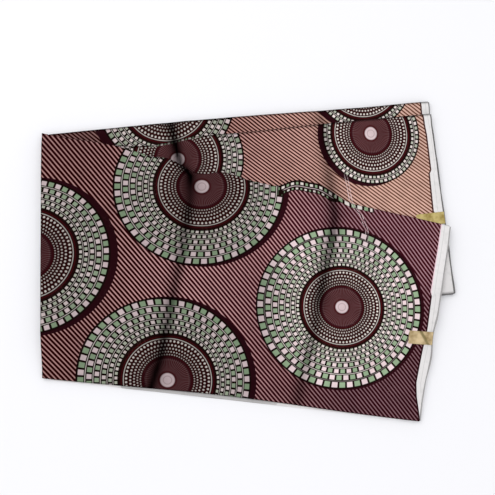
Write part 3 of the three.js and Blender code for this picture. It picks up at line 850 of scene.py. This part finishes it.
def row_of(distance, first, growth):
    """How many rows out a distance is, where each row is wider than the last by the same share."""
    return (distance / first).maths("MAXIMUM", 0.01).maths("LOGARITHM", math.e) / math.log(growth)


def staggered(cell, row):
    """The cell on its ring, where each second row is half a cell on."""
    return cell + row.floor().maths("MODULO", 2.0) * 0.5


def painted_tiles(group, made, cell, row, rows, tints):
    """Rows of tiles by turns pink and green, cream further in, with thin lines between the rows."""
    own_cell = staggered(cell, row)
    half_height = row.floor() * TILE_HEIGHT[1] + TILE_HEIGHT[0]
    half_width = row.floor() * TILE_WIDTH[1] + TILE_WIDTH[0]
    tile = (half_height - row.off_middle()).above(0.0, TILE_HEIGHT[2])
    tile = tile * (half_width - own_cell.off_middle()).above(0.0, TILE_WIDTH[2])
    tile = tile * row.above(*ROW_EDGE) * (row - rows).above(*ROW_EDGE).inverse()
    odd = own_cell.is_odd()
    tint = mix_colour(group, odd, tints["Pink"], tints["Green"])
    pale_tint = mix_colour(group, odd * CREAMY["green"], tints["Cream"], tints["Green"])
    tint = mix_colour(group, row.above(*CREAMY["rows"]).inverse() * CREAMY["share"], tint, pale_tint)
    made = mix_colour(group, tile, made, tint)
    line = row.off_middle().above(*ROW_LINE["at"]) * row.above(*ROW_LINE["first"])
    line = line * (row - rows).above(*ROW_LINE["last"]).inverse()
    line = line * (row.above(*LINES_FADE["past"]) * LINES_FADE["share"]).inverse()
    return mix_colour(group, line * ROW_LINE["share"], made, tints["Cream"])


def painted_dots(group, made, cell, radius, tints):
    """A thin line and the staggered dots inside it."""
    made = mix_colour(
        group,
        radius.near(THIN_LINE["radius"], *THIN_LINE["half"]) * THIN_LINE["share"],
        made,
        tints["Cream"],
    )
    row = row_of(radius, FIRST_DOTS, DOT_GROWTH)
    dots = length_of(staggered(cell, row).part() - 0.5, row.part() - 0.5).above(*DOT_RADIUS).inverse()
    dots = dots * row.between(0.0, DOT_ROWS, ROW_EDGE[1]) * (row * DOT_SHARE[1] + DOT_SHARE[0])
    return mix_colour(group, dots, made, tints["Cream"])


def painted_heart(group, made, cell, radius, tints):
    """The dark heart with its rim and fine spokes, and the plain pale round in its middle."""
    in_heart = radius.above(*HEART_RADIUS).inverse()
    made = mix_colour(group, in_heart, made, tints["Heart"])
    edge = HEART_RADIUS[0]
    rim = radius.between(edge - HEART_RIM["from"], edge - HEART_RIM["to"], HEART_RIM["soft"])
    made = mix_colour(group, rim * HEART_RIM["share"], made, tints["Backing"])
    dash = cell.off_middle().above(*DASHES["wide"]) * radius.between(*DASHES["reach"], DASHES["soft"])
    faint = radius.near(FAINT_RING["radius"], *FAINT_RING["half"])
    fine = (dash * DASHES["share"] + faint * FAINT_RING["share"]) * in_heart
    made = mix_colour(group, fine, made, tints["Pink"])
    centre = radius.above(*CENTRE["radius"]).inverse() * CENTRE["share"]
    made = mix_colour(group, centre, made, tints["Pink"])
    ring = radius.near(CENTRE_RING["radius"], *CENTRE_RING["half"]) * CENTRE_RING["share"]
    return mix_colour(group, ring, made, tints["Heart"])


def disc_chart():
    """The print's disc: a pale centre in a dark heart, staggered dots, and rows of tiles that widen
    outwards, on a dark disc of the same size set off to one side."""
    group = bpy.data.node_groups.new("disc_chart", "ShaderNodeTree")
    sockets = [("INPUT", label, "NodeSocketFloat") for label in DISC_PLACE]
    sockets += [("INPUT", label, "NodeSocketColor") for label in DISC_TINTS]
    sockets += [("OUTPUT", "Colour", "NodeSocketColor"), ("OUTPUT", "Cover", "NodeSocketFloat")]
    for side, label, kind in sockets:
        group.interface.new_socket(label, in_out=side, socket_type=kind)
    entry = group.nodes.new("NodeGroupInput")
    leave = group.nodes.new("NodeGroupOutput")
    x, y, rows, drift, shift = (Wire(group, entry.outputs[label]) for label in DISC_PLACE)
    tints = {label: entry.outputs[label] for label in DISC_TINTS}

    out_of_ring = (length_of(x, y) - DARK_RING[1]) / FIRST_ROW
    across = x + out_of_ring.maths("MAXIMUM", 0.0).maths("MINIMUM", 1.0) * drift
    radius = length_of(across, y)
    cell = y.maths("ARCTAN2", across) * (DIVISIONS / (2 * math.pi)) + DIVISIONS
    tile_row = row_of(radius, FIRST_ROW, ROW_GROWTH)
    in_disc = (tile_row - rows).above(*DISC_EDGE).inverse()

    past_dots = radius.above(THIN_LINE["radius"], DOT_GROUND["past"])
    ground = mix_colour(group, past_dots, tints["Heart"], tints["Ground"])
    ground = mix_colour(group, DOT_GROUND["share"], ground, tints["Ground"])
    made = mix_colour(group, in_disc, tints["Backing"], ground)
    ring = radius.between(*DARK_RING, RING_SOFT)
    band = radius.between(DARK_RING[1], FIRST_ROW, RING_SOFT)
    made = mix_colour(group, ring + band * BAND_SHARE, made, tints["Heart"])
    made = painted_tiles(group, made, cell, tile_row, rows, tints)
    made = painted_dots(group, made, cell, radius, tints)
    made = painted_heart(group, made, cell, radius, tints)
    group.links.new(made, leave.inputs["Colour"])

    from_backing = length_of(across - shift, y - shift * BACKING_SLANT)
    on_backing = (row_of(from_backing, FIRST_ROW, ROW_GROWTH) - rows).above(*BACKING_RIM).inverse()
    join(group, on_backing.maths("MAXIMUM", in_disc), leave.inputs["Cover"])
    return group


def nearest_disc(u, v, discs, turn):
    """The place from the middle of the nearest disc, and that disc's rows, drift and backing."""
    best = None
    for row in discs:
        disc = dict(zip(DISC_COLUMNS, row))
        disc_u, disc_v = turned(disc["x"], disc["y"], turn)
        here_u = (u - disc_u) / (disc["size"] * (1 + disc["stretch"]))
        here_v = (v - disc_v) / disc["size"]
        reach = FIRST_ROW * ROW_GROWTH ** disc["rows"]
        share = length_of(here_u - disc["backing"] / 2, here_v) / reach
        found = (share, here_u, here_v, disc["rows"], disc["drift"], disc["backing"])
        if best is None:
            best = tuple(here_u * 0.0 + value for value in found)
            continue
        closer = (best[0] - share).above(0.0, 0.0001)
        best = tuple(old + (old * -1.0 + new) * closer for old, new in zip(best, found))
    return best[1:]


def stripe_phase(x, y, fanned):
    """The number of stripes across, counted from one side."""
    if not fanned:
        return turned(x, y, STRIPE_HEADING)[1] / STRIPE_PERIOD
    heading = math.radians(FAR_POINT["heading"])
    far_x = FAR_POINT["from"][0] + FAR_POINT["away"] * math.cos(heading)
    far_y = FAR_POINT["from"][1] + FAR_POINT["away"] * math.sin(heading)
    return (y - far_y).maths("ARCTAN2", x - far_x) / FAN_STEP


def colour_along(tree, x, stops):
    """A colour that changes from stop to stop, each one an X and its colour."""
    made = srgb(stops[0][1])
    for (start, _), (end, colour) in zip(stops, stops[1:]):
        made = mix_colour(tree, x.above((start + end) / 2, (end - start) / 2), made, srgb(colour))
    return made


class PrintedCotton:
    """One panel's printed wax cotton, painted from the stripes up on the cloth's own flat coordinates."""

    def __init__(self, name, palette, turn):
        self.material, self.tree, self.shader = new_material(name)
        self.palette = palette
        self.turn = turn
        self.place, (raw_x, raw_y, _) = self.attribute("print_place")
        # self.crease is how much painted shade the creases lay on the cloth
        _, (past_edge, self.crease, self.worn) = self.attribute("cloth_facts")
        _, (from_far, from_fold, worn_at) = self.attribute("fold_facts")
        lengths = (raw_x, raw_y, past_edge, from_far, from_fold, worn_at)
        self.x, self.y, self.past, self.from_far, self.from_fold, self.worn_at = (
            length / MM for length in lengths
        )
        self.u, self.v = turned(self.x, self.y, turn)
        self.wander = self.speckle("wander") * WANDER
        self.made = None

    def attribute(self, label):
        node = self.tree.nodes.new("ShaderNodeAttribute")
        node.attribute_name = label
        split = self.tree.nodes.new("ShaderNodeSeparateXYZ")
        self.tree.links.new(node.outputs["Vector"], split.inputs[0])
        return node.outputs["Vector"], [Wire(self.tree, socket) for socket in split.outputs]

    def speckle(self, kind):
        return noise_wire(self.tree, self.place, *SPECKLES[kind])

    def paint(self, share, colour, blend_type="MIX"):
        """Lays a colour over what is there. A colour is a name, a value or a socket."""
        if isinstance(colour, str):
            colour = srgb(colour)
        self.made = mix_colour(self.tree, share, self.made, colour, blend_type)

    def paint_stripes(self, fanned):
        stripe = (stripe_phase(self.x, self.y, fanned) + self.wander * STRIPE_WANDER).part()
        left_share, right_share = self.palette["pale_share"]
        half_pale = self.x.above(*SHARE_CHANGES) * (right_share - left_share) + left_share
        pale = (half_pale - (stripe - 0.5).maths("ABSOLUTE")).above(0.0, STRIPE_SOFT)
        self.made = colour_along(self.tree, self.x, self.palette["dark"])
        self.paint(pale, colour_along(self.tree, self.x, self.palette["pale"]))

    def paint_discs(self, discs, chart):
        node = self.tree.nodes.new("ShaderNodeGroup")
        node.node_tree = chart
        for label, value in zip(DISC_PLACE, nearest_disc(self.u, self.v, discs, self.turn)):
            join(self.tree, value, node.inputs[label])
        for label in DISC_TINTS:
            join(self.tree, srgb(self.palette[label.lower()]), node.inputs[label])
        self.on_disc = Wire(self.tree, node.outputs["Cover"])
        self.paint(self.on_disc, node.outputs["Colour"])

    def paint_strip_ground(self):
        """The dark ground and the thin line under the rows of tiles along the front panel's fold."""
        ground = STRIP_GROUND
        reach = self.x.above(*ground["narrows"]) * (ground["shallow"] - ground["deep"]) + ground["deep"]
        on_ground = self.x.between(*ground["x"], ground["x_soft"])
        self.paint(on_ground * (reach - self.from_far).above(*ground["edge"]), self.palette["ground"])
        line = self.from_far.near(STRIP_LINE["in"], *STRIP_LINE["half"])
        line = line * self.x.between(*STRIP_LINE["x"], STRIP_LINE["x_soft"])
        self.paint(line * STRIP_LINE["share"], self.palette["pink"])

    def paint_strips(self, strips):
        """Rows of tiles that run along a far fold."""
        cell_soft, row_soft, end_soft = STRIP_TILE["soft"]
        for strip in strips:
            place = self.x / strip["pitch"] + STRIP_TILE["offset"]
            odd = place.is_odd()
            half_wide = odd * -STRIP_TILE["odd_less"] + strip["tile"][0] / strip["pitch"] / 2
            tile = (half_wide - place.off_middle()).above(0.0, cell_soft)
            tile = tile * self.from_far.near(strip["in"], strip["tile"][1] / 2, row_soft)
            tile = tile * self.x.between(*strip["x"], end_soft)
            tint = mix_colour(self.tree, odd, srgb(self.palette["cream"]), srgb(self.palette["green"]))
            self.paint(tile * STRIP_TILE["share"], tint)

    def paint_wear(self):
        """Crackle where the wax broke, uneven dye, and the pale lines of the worn crease."""
        cracks = self.tree.nodes.new("ShaderNodeTexVoronoi")
        cracks.feature = "DISTANCE_TO_EDGE"
        cracks.inputs["Scale"].default_value = CRACKLE["scale"]
        self.tree.links.new(self.place, cracks.inputs["Vector"])
        vein = Wire(self.tree, cracks.outputs["Distance"]).above(*CRACKLE["half"]).inverse()
        self.paint(vein * self.speckle("veined") * CRACKLE["share"], self.palette["pale"][0][1])
        self.paint(self.speckle("dye") * DYE["share"], DYE["colour"])
        drifting = self.worn_at + self.wander * WORN_LINE["wander"] - WORN_LINE["middle"]
        for beside in WORN_LINES:
            line = drifting.near(beside, *WORN_LINE["half"])
            self.paint(line * self.worn * self.speckle("worn"), self.palette["pink"])

    def paint_selvedge(self):
        """White past the print, with a dark edge line or a pink one, and the next ply's edge showing
        through as a faint grey line of painted shade.
        """
        pink_stretch = self.y.above(self.palette["pink_above"], PINK_LINE["start_soft"])
        dark_line = self.past.between(-self.palette["edge_line"], 0.0, EDGE_LINE["soft"])
        self.paint(dark_line * pink_stretch.inverse() * EDGE_LINE["share"], self.palette["backing"])
        self.paint(self.past.above(*SELVEDGE_WHITE["past"]), SELVEDGE_WHITE["colour"])
        pink_line = self.past.between(*PINK_LINE["past"], PINK_LINE["soft"])
        self.paint(pink_line * pink_stretch * PINK_LINE["share"], PINK_LINE["colour"])
        next_ply = (self.past + self.wander * NEXT_PLY["wander"]).near(NEXT_PLY["at"], *NEXT_PLY["half"])
        smudge = self.speckle("smudge") * self.past.above(*SMUDGE["past"])
        self.paint(next_ply * NEXT_PLY["share"] + smudge * SMUDGE["share"], NEXT_PLY["colour"])

    def paint_shade(self):
        """Painted shade: darker at the folds, in the creases, in random patches, low at the right and on
        the left discs.
        """
        palette = self.palette
        reach = palette["fold_reach"]
        off_fold = (self.from_fold + self.wander * FOLD_WANDER).above(reach, reach * FOLD_SOFT)
        rope = self.from_fold.between(ROPE["from"], reach, ROPE["soft"]) * self.speckle("rope")
        at_fold = off_fold * palette["fold_shade"] + (1.0 - palette["fold_shade"])
        shade = at_fold.maths("MAXIMUM", rope * palette["rope"])
        low_right = self.y.above(*LOW_RIGHT["y"]).inverse() * self.x.above(*LOW_RIGHT["x"])
        low_right = low_right * self.past.above(*LOW_RIGHT["past"]).inverse() * self.on_disc.inverse()
        left_disc = self.on_disc * self.x.above(*LEFT_DISCS).inverse()
        for share in (
            self.crease * palette["crease_shade"],
            self.speckle("mottle") * MOTTLE,
            low_right * palette["low_right_shade"],
            left_disc * palette["left_disc_shade"],
        ):
            shade = shade * share.inverse()
        self.paint(1.0, shade.socket, "MULTIPLY")

    def weave(self):
        """A fine cross of threads, and the cotton's matt finish."""
        warp = (self.u * (2 * math.pi / THREAD)).maths("SINE")
        weft = (self.v * (2 * math.pi / THREAD)).maths("SINE")
        threads = warp * weft + self.speckle("fibre")
        bumped(self.tree, self.shader, threads, WEAVE["strength"], WEAVE["depth"])
        self.shader.inputs["Roughness"].default_value = WEAVE["roughness"]
        self.shader.inputs["Specular IOR Level"].default_value = WEAVE["specular"]


def cloth_material(name, palette, discs, turn, chart, fanned=False, strips=(), strip_ground=False):
    cotton = PrintedCotton(name, palette, turn)
    cotton.paint_stripes(fanned)
    cotton.paint_discs(discs, chart)
    if strip_ground:
        cotton.paint_strip_ground()
    cotton.paint_strips(strips)
    cotton.paint_wear()
    cotton.paint_selvedge()
    cotton.paint_shade()
    cotton.weave()
    cotton.tree.links.new(cotton.made, cotton.shader.inputs["Base Color"])
    return cotton.material


def foil_material():
    """Thin gold paper, a little crumpled, duller on the front label, with painted shade along a fold there.
    """
    material, tree, shader = new_material("gold_foil_paper")
    place = tree.nodes.new("ShaderNodeTexCoord").outputs["Object"]
    split = tree.nodes.new("ShaderNodeSeparateXYZ")
    tree.links.new(place, split.inputs[0])
    x, y = (Wire(tree, socket) / MM for socket in split.outputs[:2])
    grain = noise_wire(tree, place, *FOIL["grain"])
    on_front = y.above(*FOIL["front_below"]).inverse()
    gold, tan = (mix_colour(tree, grain, *map(srgb, FOIL[tint])) for tint in ("gold", "tan"))
    made = mix_colour(tree, on_front, gold, tan)
    slanted = x + (y - FRONT_LABEL["y"]) * FOIL_FOLD_SHADE["slant"]
    fold_shade_line = slanted.near(FOIL_FOLD_SHADE["x"], *FOIL_FOLD_SHADE["half"])
    made = mix_colour(tree, fold_shade_line * on_front * FOIL_FOLD_SHADE["share"], made, srgb(FOIL_FOLD_SHADE["colour"]))
    tree.links.new(made, shader.inputs["Base Color"])
    crumple = tree.nodes.new("ShaderNodeTexVoronoi")
    crumple.inputs["Scale"].default_value = FOIL["crumple"]
    tree.links.new(place, crumple.inputs["Vector"])
    bumped(tree, shader, crumple.outputs["Distance"], FOIL["strength"], FOIL["depth"])
    shader.inputs["Metallic"].default_value = FOIL["metallic"]
    shader.inputs["Roughness"].default_value = FOIL["roughness"]
    return material


def foil_label(name, label, edge, under):
    """A foil label from its inner end on the panel, round the selvedge and a little way back under it."""
    reach = WALL / 2 + LABEL_AIR + LABEL_WALL / 2
    columns = []
    for offset in np.linspace(-0.5, 0.5, LABEL_STEPS["across"]) * label["depth"]:
        y = label["y"] + offset
        edge_x = float(edge(y))
        row = []
        for from_edge in np.linspace(label["on_top"], 0, LABEL_STEPS["on_top"]):
            x = edge_x - from_edge
            z = under(x, y) + WALL / 2 + reach
            row.append((x, y - from_edge * label["turn"], z))
        middle = under(edge_x, y) + WALL / 2
        for turn in np.linspace(0, np.pi, LABEL_STEPS["round"])[1:]:
            row.append((edge_x + reach * np.sin(turn), y, middle + reach * np.cos(turn)))
        row.append((edge_x - label["under"], y, middle - reach))
        columns.append(row)
    points = np.array(columns, float)
    x, y, z = points[..., 0], points[..., 1], points[..., 2]
    crumple = sum(height * soft_noise(x, y, size, layer) for size, layer, height in FOIL_CRUMPLES)
    points[..., 2] = z * relief(x, y) + crumple
    made = mesh_object(name, points.reshape(-1, 3), grid_faces(*x.shape))
    return thickened(made, FOIL_PAPER)


def stack_rings(flat, size, under, top, cells, layers, seed):
    """The places round a stack's rim, and its rings of points from the lowest level to the top."""
    wide, deep = size
    across, along = cells
    rim = [(i, along) for i in range(across)]
    rim += [(across, j) for j in range(along, 0, -1)]
    rim += [(i, 0) for i in range(across, 0, -1)]
    rim += [(0, j) for j in range(along)]
    share_across, share_along = np.array(rim, float).T / np.array([[across], [along]])
    levels = layers * LEVELS_A_LAYER
    rings = []
    for level in range(levels + 1):
        layer = min(level // LEVELS_A_LAYER, layers - 1)
        roll = abs(math.sin(math.pi * level / LEVELS_A_LAYER))
        wander = soft_noise(share_across * wide, share_along * deep, LAYER_WAVE, seed + layer)
        inwards = LAYER_GROOVE * (1 - math.sqrt(roll)) + LAYER_STAGGER * (0.5 + wander)
        s = lerp(inwards / wide, 1 - inwards / wide, share_across)
        t = lerp(inwards / deep, 1 - inwards / deep, share_along)
        x, y = flat(s, t)
        rings.append(np.stack([x, y, lerp(under(x, y), top(x, y), level / levels)], -1))
    return rim, rings


def layer_stack(corners, top, cells, layers, seed, under=level_at(0.0), far=None, near=None):
    """Points and faces of one closed stack of hidden layers between four corners, layered at its edges."""
    far_left, far_right, near_right, near_left = corners
    flat = patch(
        dict(zip(CORNERS, corners)),
        far or fold_line(far_left, far_right),
        near or fold_line(near_left, near_right),
        side_line(far_left, near_left),
        side_line(far_right, near_right),
    )
    size = (far_right[0] - far_left[0], far_left[1] - near_left[1])
    rim, rings = stack_rings(flat, size, under, top, cells, layers, seed)
    points = [tuple(point) for ring in rings for point in ring]
    count = len(rim)
    faces = []
    for start in range(0, (len(rings) - 1) * count, count):
        for k in range(count):
            following = (k + 1) % count
            faces.append((start + k, start + following, start + count + following, start + count + k))
    across, along = cells
    for level, height in ((0, under), (len(rings) - 1, top)):
        index = {place: level * count + k for k, place in enumerate(rim)}
        for i in range(1, across):
            for j in range(1, along):
                x, y = flat(i / across, j / along)
                index[(i, j)] = len(points)
                points.append((x, y, float(height(x, y))))
        for i in range(across):
            for j in range(along):
                face = (index[(i, j)], index[(i, j + 1)], index[(i + 1, j + 1)], index[(i + 1, j)])
                faces.append(face if level else face[::-1])
    return points, faces


def spine_at(y, inwards):
    return (float(front_left(y)) + inwards, float(y))


def upper_far(x):
    return np.minimum(middle_fold(x) - INSET["middle_far"], front_fold(x) - INSET["front_far"])


def front_inner(x):
    return front_near(x) + INSET["front_near"]


def hidden_stacks():
    """The stacks of both bundles, the stacked half folds at the left, and the rim at the near fold."""
    joint = SPINE[0] + GAP
    side = INSET["side"]
    left_x, left_y = FRONT["near_left"]
    right_x, right_y = FRONT["near_right"]
    back_left_y = back_fold(BACK["far_left"][0]) - INSET["far_fold"]
    lower_near_y = middle_near(MIDDLE["near_left"][0]) + INSET["near_fold"]
    near_left_y = middle_near(left_x)
    near_right_y = middle_near(right_x)
    spine_far_y = FRONT["far_left"][1] - INSET["spine_far"]
    upper_right_x = FRONT["far_right"][0] - 2 * side
    front_side_x = float(front_right(near_right_y)) - side
    rim_far_y = right_y + RIM_DEEP
    lower = [
        spine_at(back_left_y, joint),
        (BACK["far_right"][0] - side, BACK["far_right"][1] - INSET["far_fold"]),
        (MIDDLE["near_right"][0] - side, MIDDLE["near_right"][1] + INSET["near_fold"]),
        spine_at(lower_near_y, joint),
    ]
    spine = [
        spine_at(spine_far_y, SPINE[0]),
        spine_at(spine_far_y, SPINE[1]),
        spine_at(lower_near_y, SPINE[1]),
        spine_at(lower_near_y, SPINE[0]),
    ]
    upper = [
        spine_at(upper_far(FRONT["far_left"][0]), joint),
        (upper_right_x, float(upper_far(upper_right_x + side))),
        (front_side_x, near_right_y - PAST_NEAR),
        spine_at(near_left_y - PAST_NEAR, joint),
    ]
    front = [
        spine_at(near_left_y - PAST_START, joint),
        (front_side_x, near_right_y - PAST_START),
        (right_x - side, float(front_inner(right_x))),
        (left_x + joint, float(front_inner(left_x))),
    ]
    rim = [
        (left_x + GAP, left_y + RIM_DEEP),
        (float(front_right(rim_far_y)) - side, rim_far_y),
        (right_x - RIM_DEEP, float(front_near(right_x)) + RIM_SHOWS),
        (left_x + INSET["near_fold"], float(front_near(left_x)) - RIM_SHOWS),
    ]
    return [
        layer_stack(lower, level_at(LOWER_LAYERS), **STACKS["lower"]),
        layer_stack(spine, upper_top, **STACKS["spine"]),
        layer_stack(upper, upper_top, **STACKS["upper"], under=level_at(UPPER_LEVEL), far=upper_far),
        layer_stack(front, upper_top, **STACKS["front"], near=front_inner),
        layer_stack(rim, level_at(RIM_LAYERS), **STACKS["rim"]),
    ]


def hidden_layers():
    points = []
    faces = []
    for more, more_faces in hidden_stacks():
        start = len(points)
        points += more
        faces += [tuple(start + k for k in face) for face in more_faces]
    points = np.array(points, float)
    x, y = points[:, 0], points[:, 1]
    points[:, 2] *= relief(x, y)
    right = np.where(y > middle_near(FRONT["near_right"][0]), back_right(y), front_right(y))
    past = np.where(y < front_near(x) + PLAIN_RIM, PLAIN, x - right + HIDDEN_SELVEDGE)
    looks = {
        "print_place": [x * MM, (y + points[:, 2]) * MM, 0 * x],
        "cloth_facts": [past * MM, 0 * x, 0 * x],
        "fold_facts": [0 * x + 1, 0 * x + 1, 0 * x + 1],
    }
    looks = {label: np.stack(values, -1) for label, values in looks.items()}
    return mesh_object("hidden_layers", points, faces, looks)


def ply_tree(material):
    """Geometry Nodes: each line becomes a stack of cloth edges, one above the other, none quite in line."""
    tree = bpy.data.node_groups.new("selvedge_plies", "GeometryNodeTree")
    tree.interface.new_socket("Geometry", in_out="INPUT", socket_type="NodeSocketGeometry")
    for label in PLY_INPUTS:
        tree.interface.new_socket(label, in_out="INPUT", socket_type="NodeSocketFloat")
    tree.interface.new_socket("Geometry", in_out="OUTPUT", socket_type="NodeSocketGeometry")
    entry = tree.nodes.new("NodeGroupInput")
    leave = tree.nodes.new("NodeGroupOutput")

    def add(kind, **inputs):
        node = tree.nodes.new(kind)
        for label, value in inputs.items():
            join(tree, value, node.inputs[label.replace("_", " ")])
        return node

    stagger, wave, width, thickness, seed = (Wire(tree, entry.outputs[label]) for label in PLY_INPUTS)
    stack = tree.nodes.new("GeometryNodeInputNamedAttribute")
    stack.data_type = "FLOAT_VECTOR"
    stack.inputs["Name"].default_value = "stack"
    split = add("ShaderNodeSeparateXYZ", Vector=stack.outputs["Attribute"])
    plies = Wire(tree, split.outputs["X"])
    height = Wire(tree, split.outputs["Z"])

    # Each line is repeated once for each ply, lifted to its level and shifted a little aside
    lines = add("GeometryNodeMeshToCurve", Mesh=entry.outputs["Geometry"])
    copies = tree.nodes.new("GeometryNodeDuplicateElements")
    copies.domain = "SPLINE"
    tree.links.new(lines.outputs["Curve"], copies.inputs["Geometry"])
    join(tree, plies, copies.inputs["Amount"])
    number = Wire(tree, copies.outputs["Duplicate Index"])
    uneven = tree.nodes.new("ShaderNodeTexNoise")
    uneven.noise_dimensions = "4D"
    tree.links.new(add("GeometryNodeInputPosition").outputs[0], uneven.inputs["Vector"])
    join(tree, number * PLY_NOISE_STEP + seed, uneven.inputs["W"])
    join(tree, wave, uneven.inputs["Scale"])
    aside = (Wire(tree, uneven.outputs["Fac"]) - 0.5) * stagger * PLY_SPREAD
    move = add("ShaderNodeCombineXYZ", X=aside, Z=height * (number + 0.5) / plies)
    moved = add("GeometryNodeSetPosition", Geometry=copies.outputs["Geometry"], Offset=move.outputs[0])

    # A flat section along each line gives the ply its width and thickness
    level = add("GeometryNodeSetCurveNormal", Curve=moved.outputs["Geometry"])
    level.mode = "Z_UP"
    section = add("GeometryNodeCurvePrimitiveQuadrilateral", Width=width, Height=thickness)
    profile = section.outputs["Curve"]
    made = add("GeometryNodeCurveToMesh", Curve=level.outputs["Curve"], Profile_Curve=profile)
    made.inputs["Fill Caps"].default_value = True
    shape = made.outputs["Mesh"]
    for label, value in PLY_FIELDS.items():
        store = add("GeometryNodeStoreNamedAttribute", Geometry=shape)
        store.data_type = "FLOAT_VECTOR"
        store.inputs["Name"].default_value = label
        [slot for slot in store.inputs if slot.name == "Value" and slot.enabled][0].default_value = value
        shape = store.outputs["Geometry"]
    real = add("GeometryNodeRealizeInstances", Geometry=shape)
    finish = add("GeometryNodeSetMaterial", Geometry=real.outputs["Geometry"])
    finish.inputs["Material"].default_value = material
    tree.links.new(finish.outputs["Geometry"], leave.inputs["Geometry"])
    return tree


def selvedge_plies(material):
    """The stacks of free edges at the right, each one grown from a line that stands at its foot."""
    front_end = float(front_inner(FRONT["near_right"][0]))
    stacks = [
        (front_right, (PLY_RUNS["front"], front_end), 0.0, front_under),
        (front_right, PLY_RUNS["upper"], UPPER_LEVEL, front_under),
        (back_right, PLY_RUNS["back"], 0.0, level_at(LOWER_LAYERS)),
    ]
    points = []
    edges = []
    stack = []
    for side, run, base, top in stacks:
        start = len(points)
        ys = np.linspace(*run, PLY_POINTS)
        xs = side(ys) - PLY_INPUTS["Width"] / MM / 2 + PLY_PAST
        heights = top(xs, ys) - base
        plies = round(float(heights.mean()) / PLY_PITCH)
        points += [(x, y, base) for x, y in zip(xs, ys)]
        stack += [(plies, 0.0, height * MM) for height in heights]
        edges += [(start + k, start + k + 1) for k in range(PLY_POINTS - 1)]
    made = mesh_object("selvedge_plies", points, [], {"stack": stack}, edges)
    tree = ply_tree(material)
    modifier = made.modifiers.new("plies", "NODES")
    modifier.node_group = tree
    for item in tree.interface.items_tree:
        if item.name in PLY_INPUTS:
            modifier[item.identifier] = PLY_INPUTS[item.name]
    return plain(made)


chart = disc_chart()
front_cotton = cloth_material(
    "front_wax_print",
    FRONT_PALETTE,
    FRONT_DISCS,
    FRONT_TURN,
    chart,
    fanned=True,
    strips=FRONT_STRIPS,
    strip_ground=True,
)
middle_cotton = cloth_material(
    "middle_wax_print", MIDDLE_PALETTE, MIDDLE_DISCS, OTHER_TURN, chart, strips=MIDDLE_STRIPS
)
back_cotton = cloth_material("back_wax_print", BACK_PALETTE, BACK_DISCS, OTHER_TURN, chart)
hidden_cotton = cloth_material("hidden_wax_print", HIDDEN_PALETTE, HIDDEN_DISCS, FRONT_TURN, chart)
foil = foil_material()

back_cloth = panel(
    "back_cloth",
    patch(BACK, back_fold, back_near, back_left, back_right),
    back_under,
    far_rest=level_at(LOWER_LAYERS),
    near_rest=None,
    print_edge=BACK_PRINT_EDGE,
    bare=None,
    overhang=1.8,
)
middle_cloth = panel(
    "middle_cloth",
    patch(MIDDLE, middle_fold, middle_near, middle_left, middle_right),
    middle_under,
    far_rest=level_at(BACK_LEVEL + SLACK + WALL),
    near_rest=level_at(-GAP),
    print_edge=MIDDLE_PRINT_EDGE,
    bare=MIDDLE_BARE,
    overhang=2.6,
)
front_cloth = panel(
    "front_cloth",
    patch(FRONT, front_fold, front_near, front_left, front_right),
    front_under,
    far_rest=front_rest,
    near_rest=level_at(RIM_LAYERS),
    print_edge=FRONT_PRINT_EDGE,
    bare=FRONT_BARE,
    overhang=2.2,
)
layers = hidden_layers()
plies = selvedge_plies(hidden_cotton)
front_foil = foil_label("front_foil", FRONT_LABEL, front_right, front_under)
back_foil = foil_label("back_foil", BACK_LABEL, middle_right, middle_under)

FINISHES = [
    (back_cloth, back_cotton, "back_panel", "warm_print"),
    (middle_cloth, middle_cotton, "middle_panel", "warm_print"),
    (front_cloth, front_cotton, "front_panel", "dark_print"),
    (layers, hidden_cotton, "folded_layers", "cloth_edges"),
    (plies, hidden_cotton, "folded_layers", "cloth_edges"),
    (front_foil, foil, "front_label", "foil_label"),
    (back_foil, foil, "back_label", "foil_label"),
]
for piece, material, node, slot in FINISHES:
    piece.data.materials.clear()
    piece.data.materials.append(material)
    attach(piece, "root")
    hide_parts(node)


def stage():
    """A plain pale floor, soft lights and the camera."""
    half = FLOOR["half"]
    z = FLOOR["level"]
    corners = [(-half, -half, z), (half, -half, z), (half, half, z), (-half, half, z)]
    floor = mesh_object("floor", corners, [(0, 1, 2, 3)])
    paint, _, shader = new_material("pale_floor")
    shader.inputs["Base Color"].default_value = FLOOR["colour"]
    shader.inputs["Roughness"].default_value = FLOOR["roughness"]
    floor.data.materials.append(paint)

    world = bpy.data.worlds.new("studio")
    world.use_nodes = True
    background = world.node_tree.nodes["Background"]
    background.inputs["Color"].default_value = SKY["colour"]
    background.inputs["Strength"].default_value = SKY["strength"]
    bpy.context.scene.world = world

    for lamp in LAMPS:
        light = bpy.data.lights.new(lamp["name"], "AREA")
        light.size = lamp["size"]
        light.energy = lamp["power"]
        holder = bpy.data.objects.new(lamp["name"], light)
        holder.location = lamp["spot"]
        holder.rotation_euler = (-Vector(lamp["spot"])).to_track_quat("-Z", "Y").to_euler()
        bpy.context.scene.collection.objects.link(holder)

    elevation = math.radians(CAMERA["elevation"])
    back = Vector((0, -math.cos(elevation), math.sin(elevation)))
    target = Vector(CAMERA["target"]) * MM
    camera = bpy.data.objects.new("camera", bpy.data.cameras.new("camera"))
    camera.data.lens = CAMERA["lens"]
    camera.data.sensor_width = CAMERA["sensor"]
    camera.location = target + back * CAMERA["away"] * MM
    camera.rotation_euler = (-back).to_track_quat("-Z", "Y").to_euler()
    bpy.context.scene.collection.objects.link(camera)
    bpy.context.scene.camera = camera
    bpy.context.scene.view_settings.view_transform = "Standard"


stage()
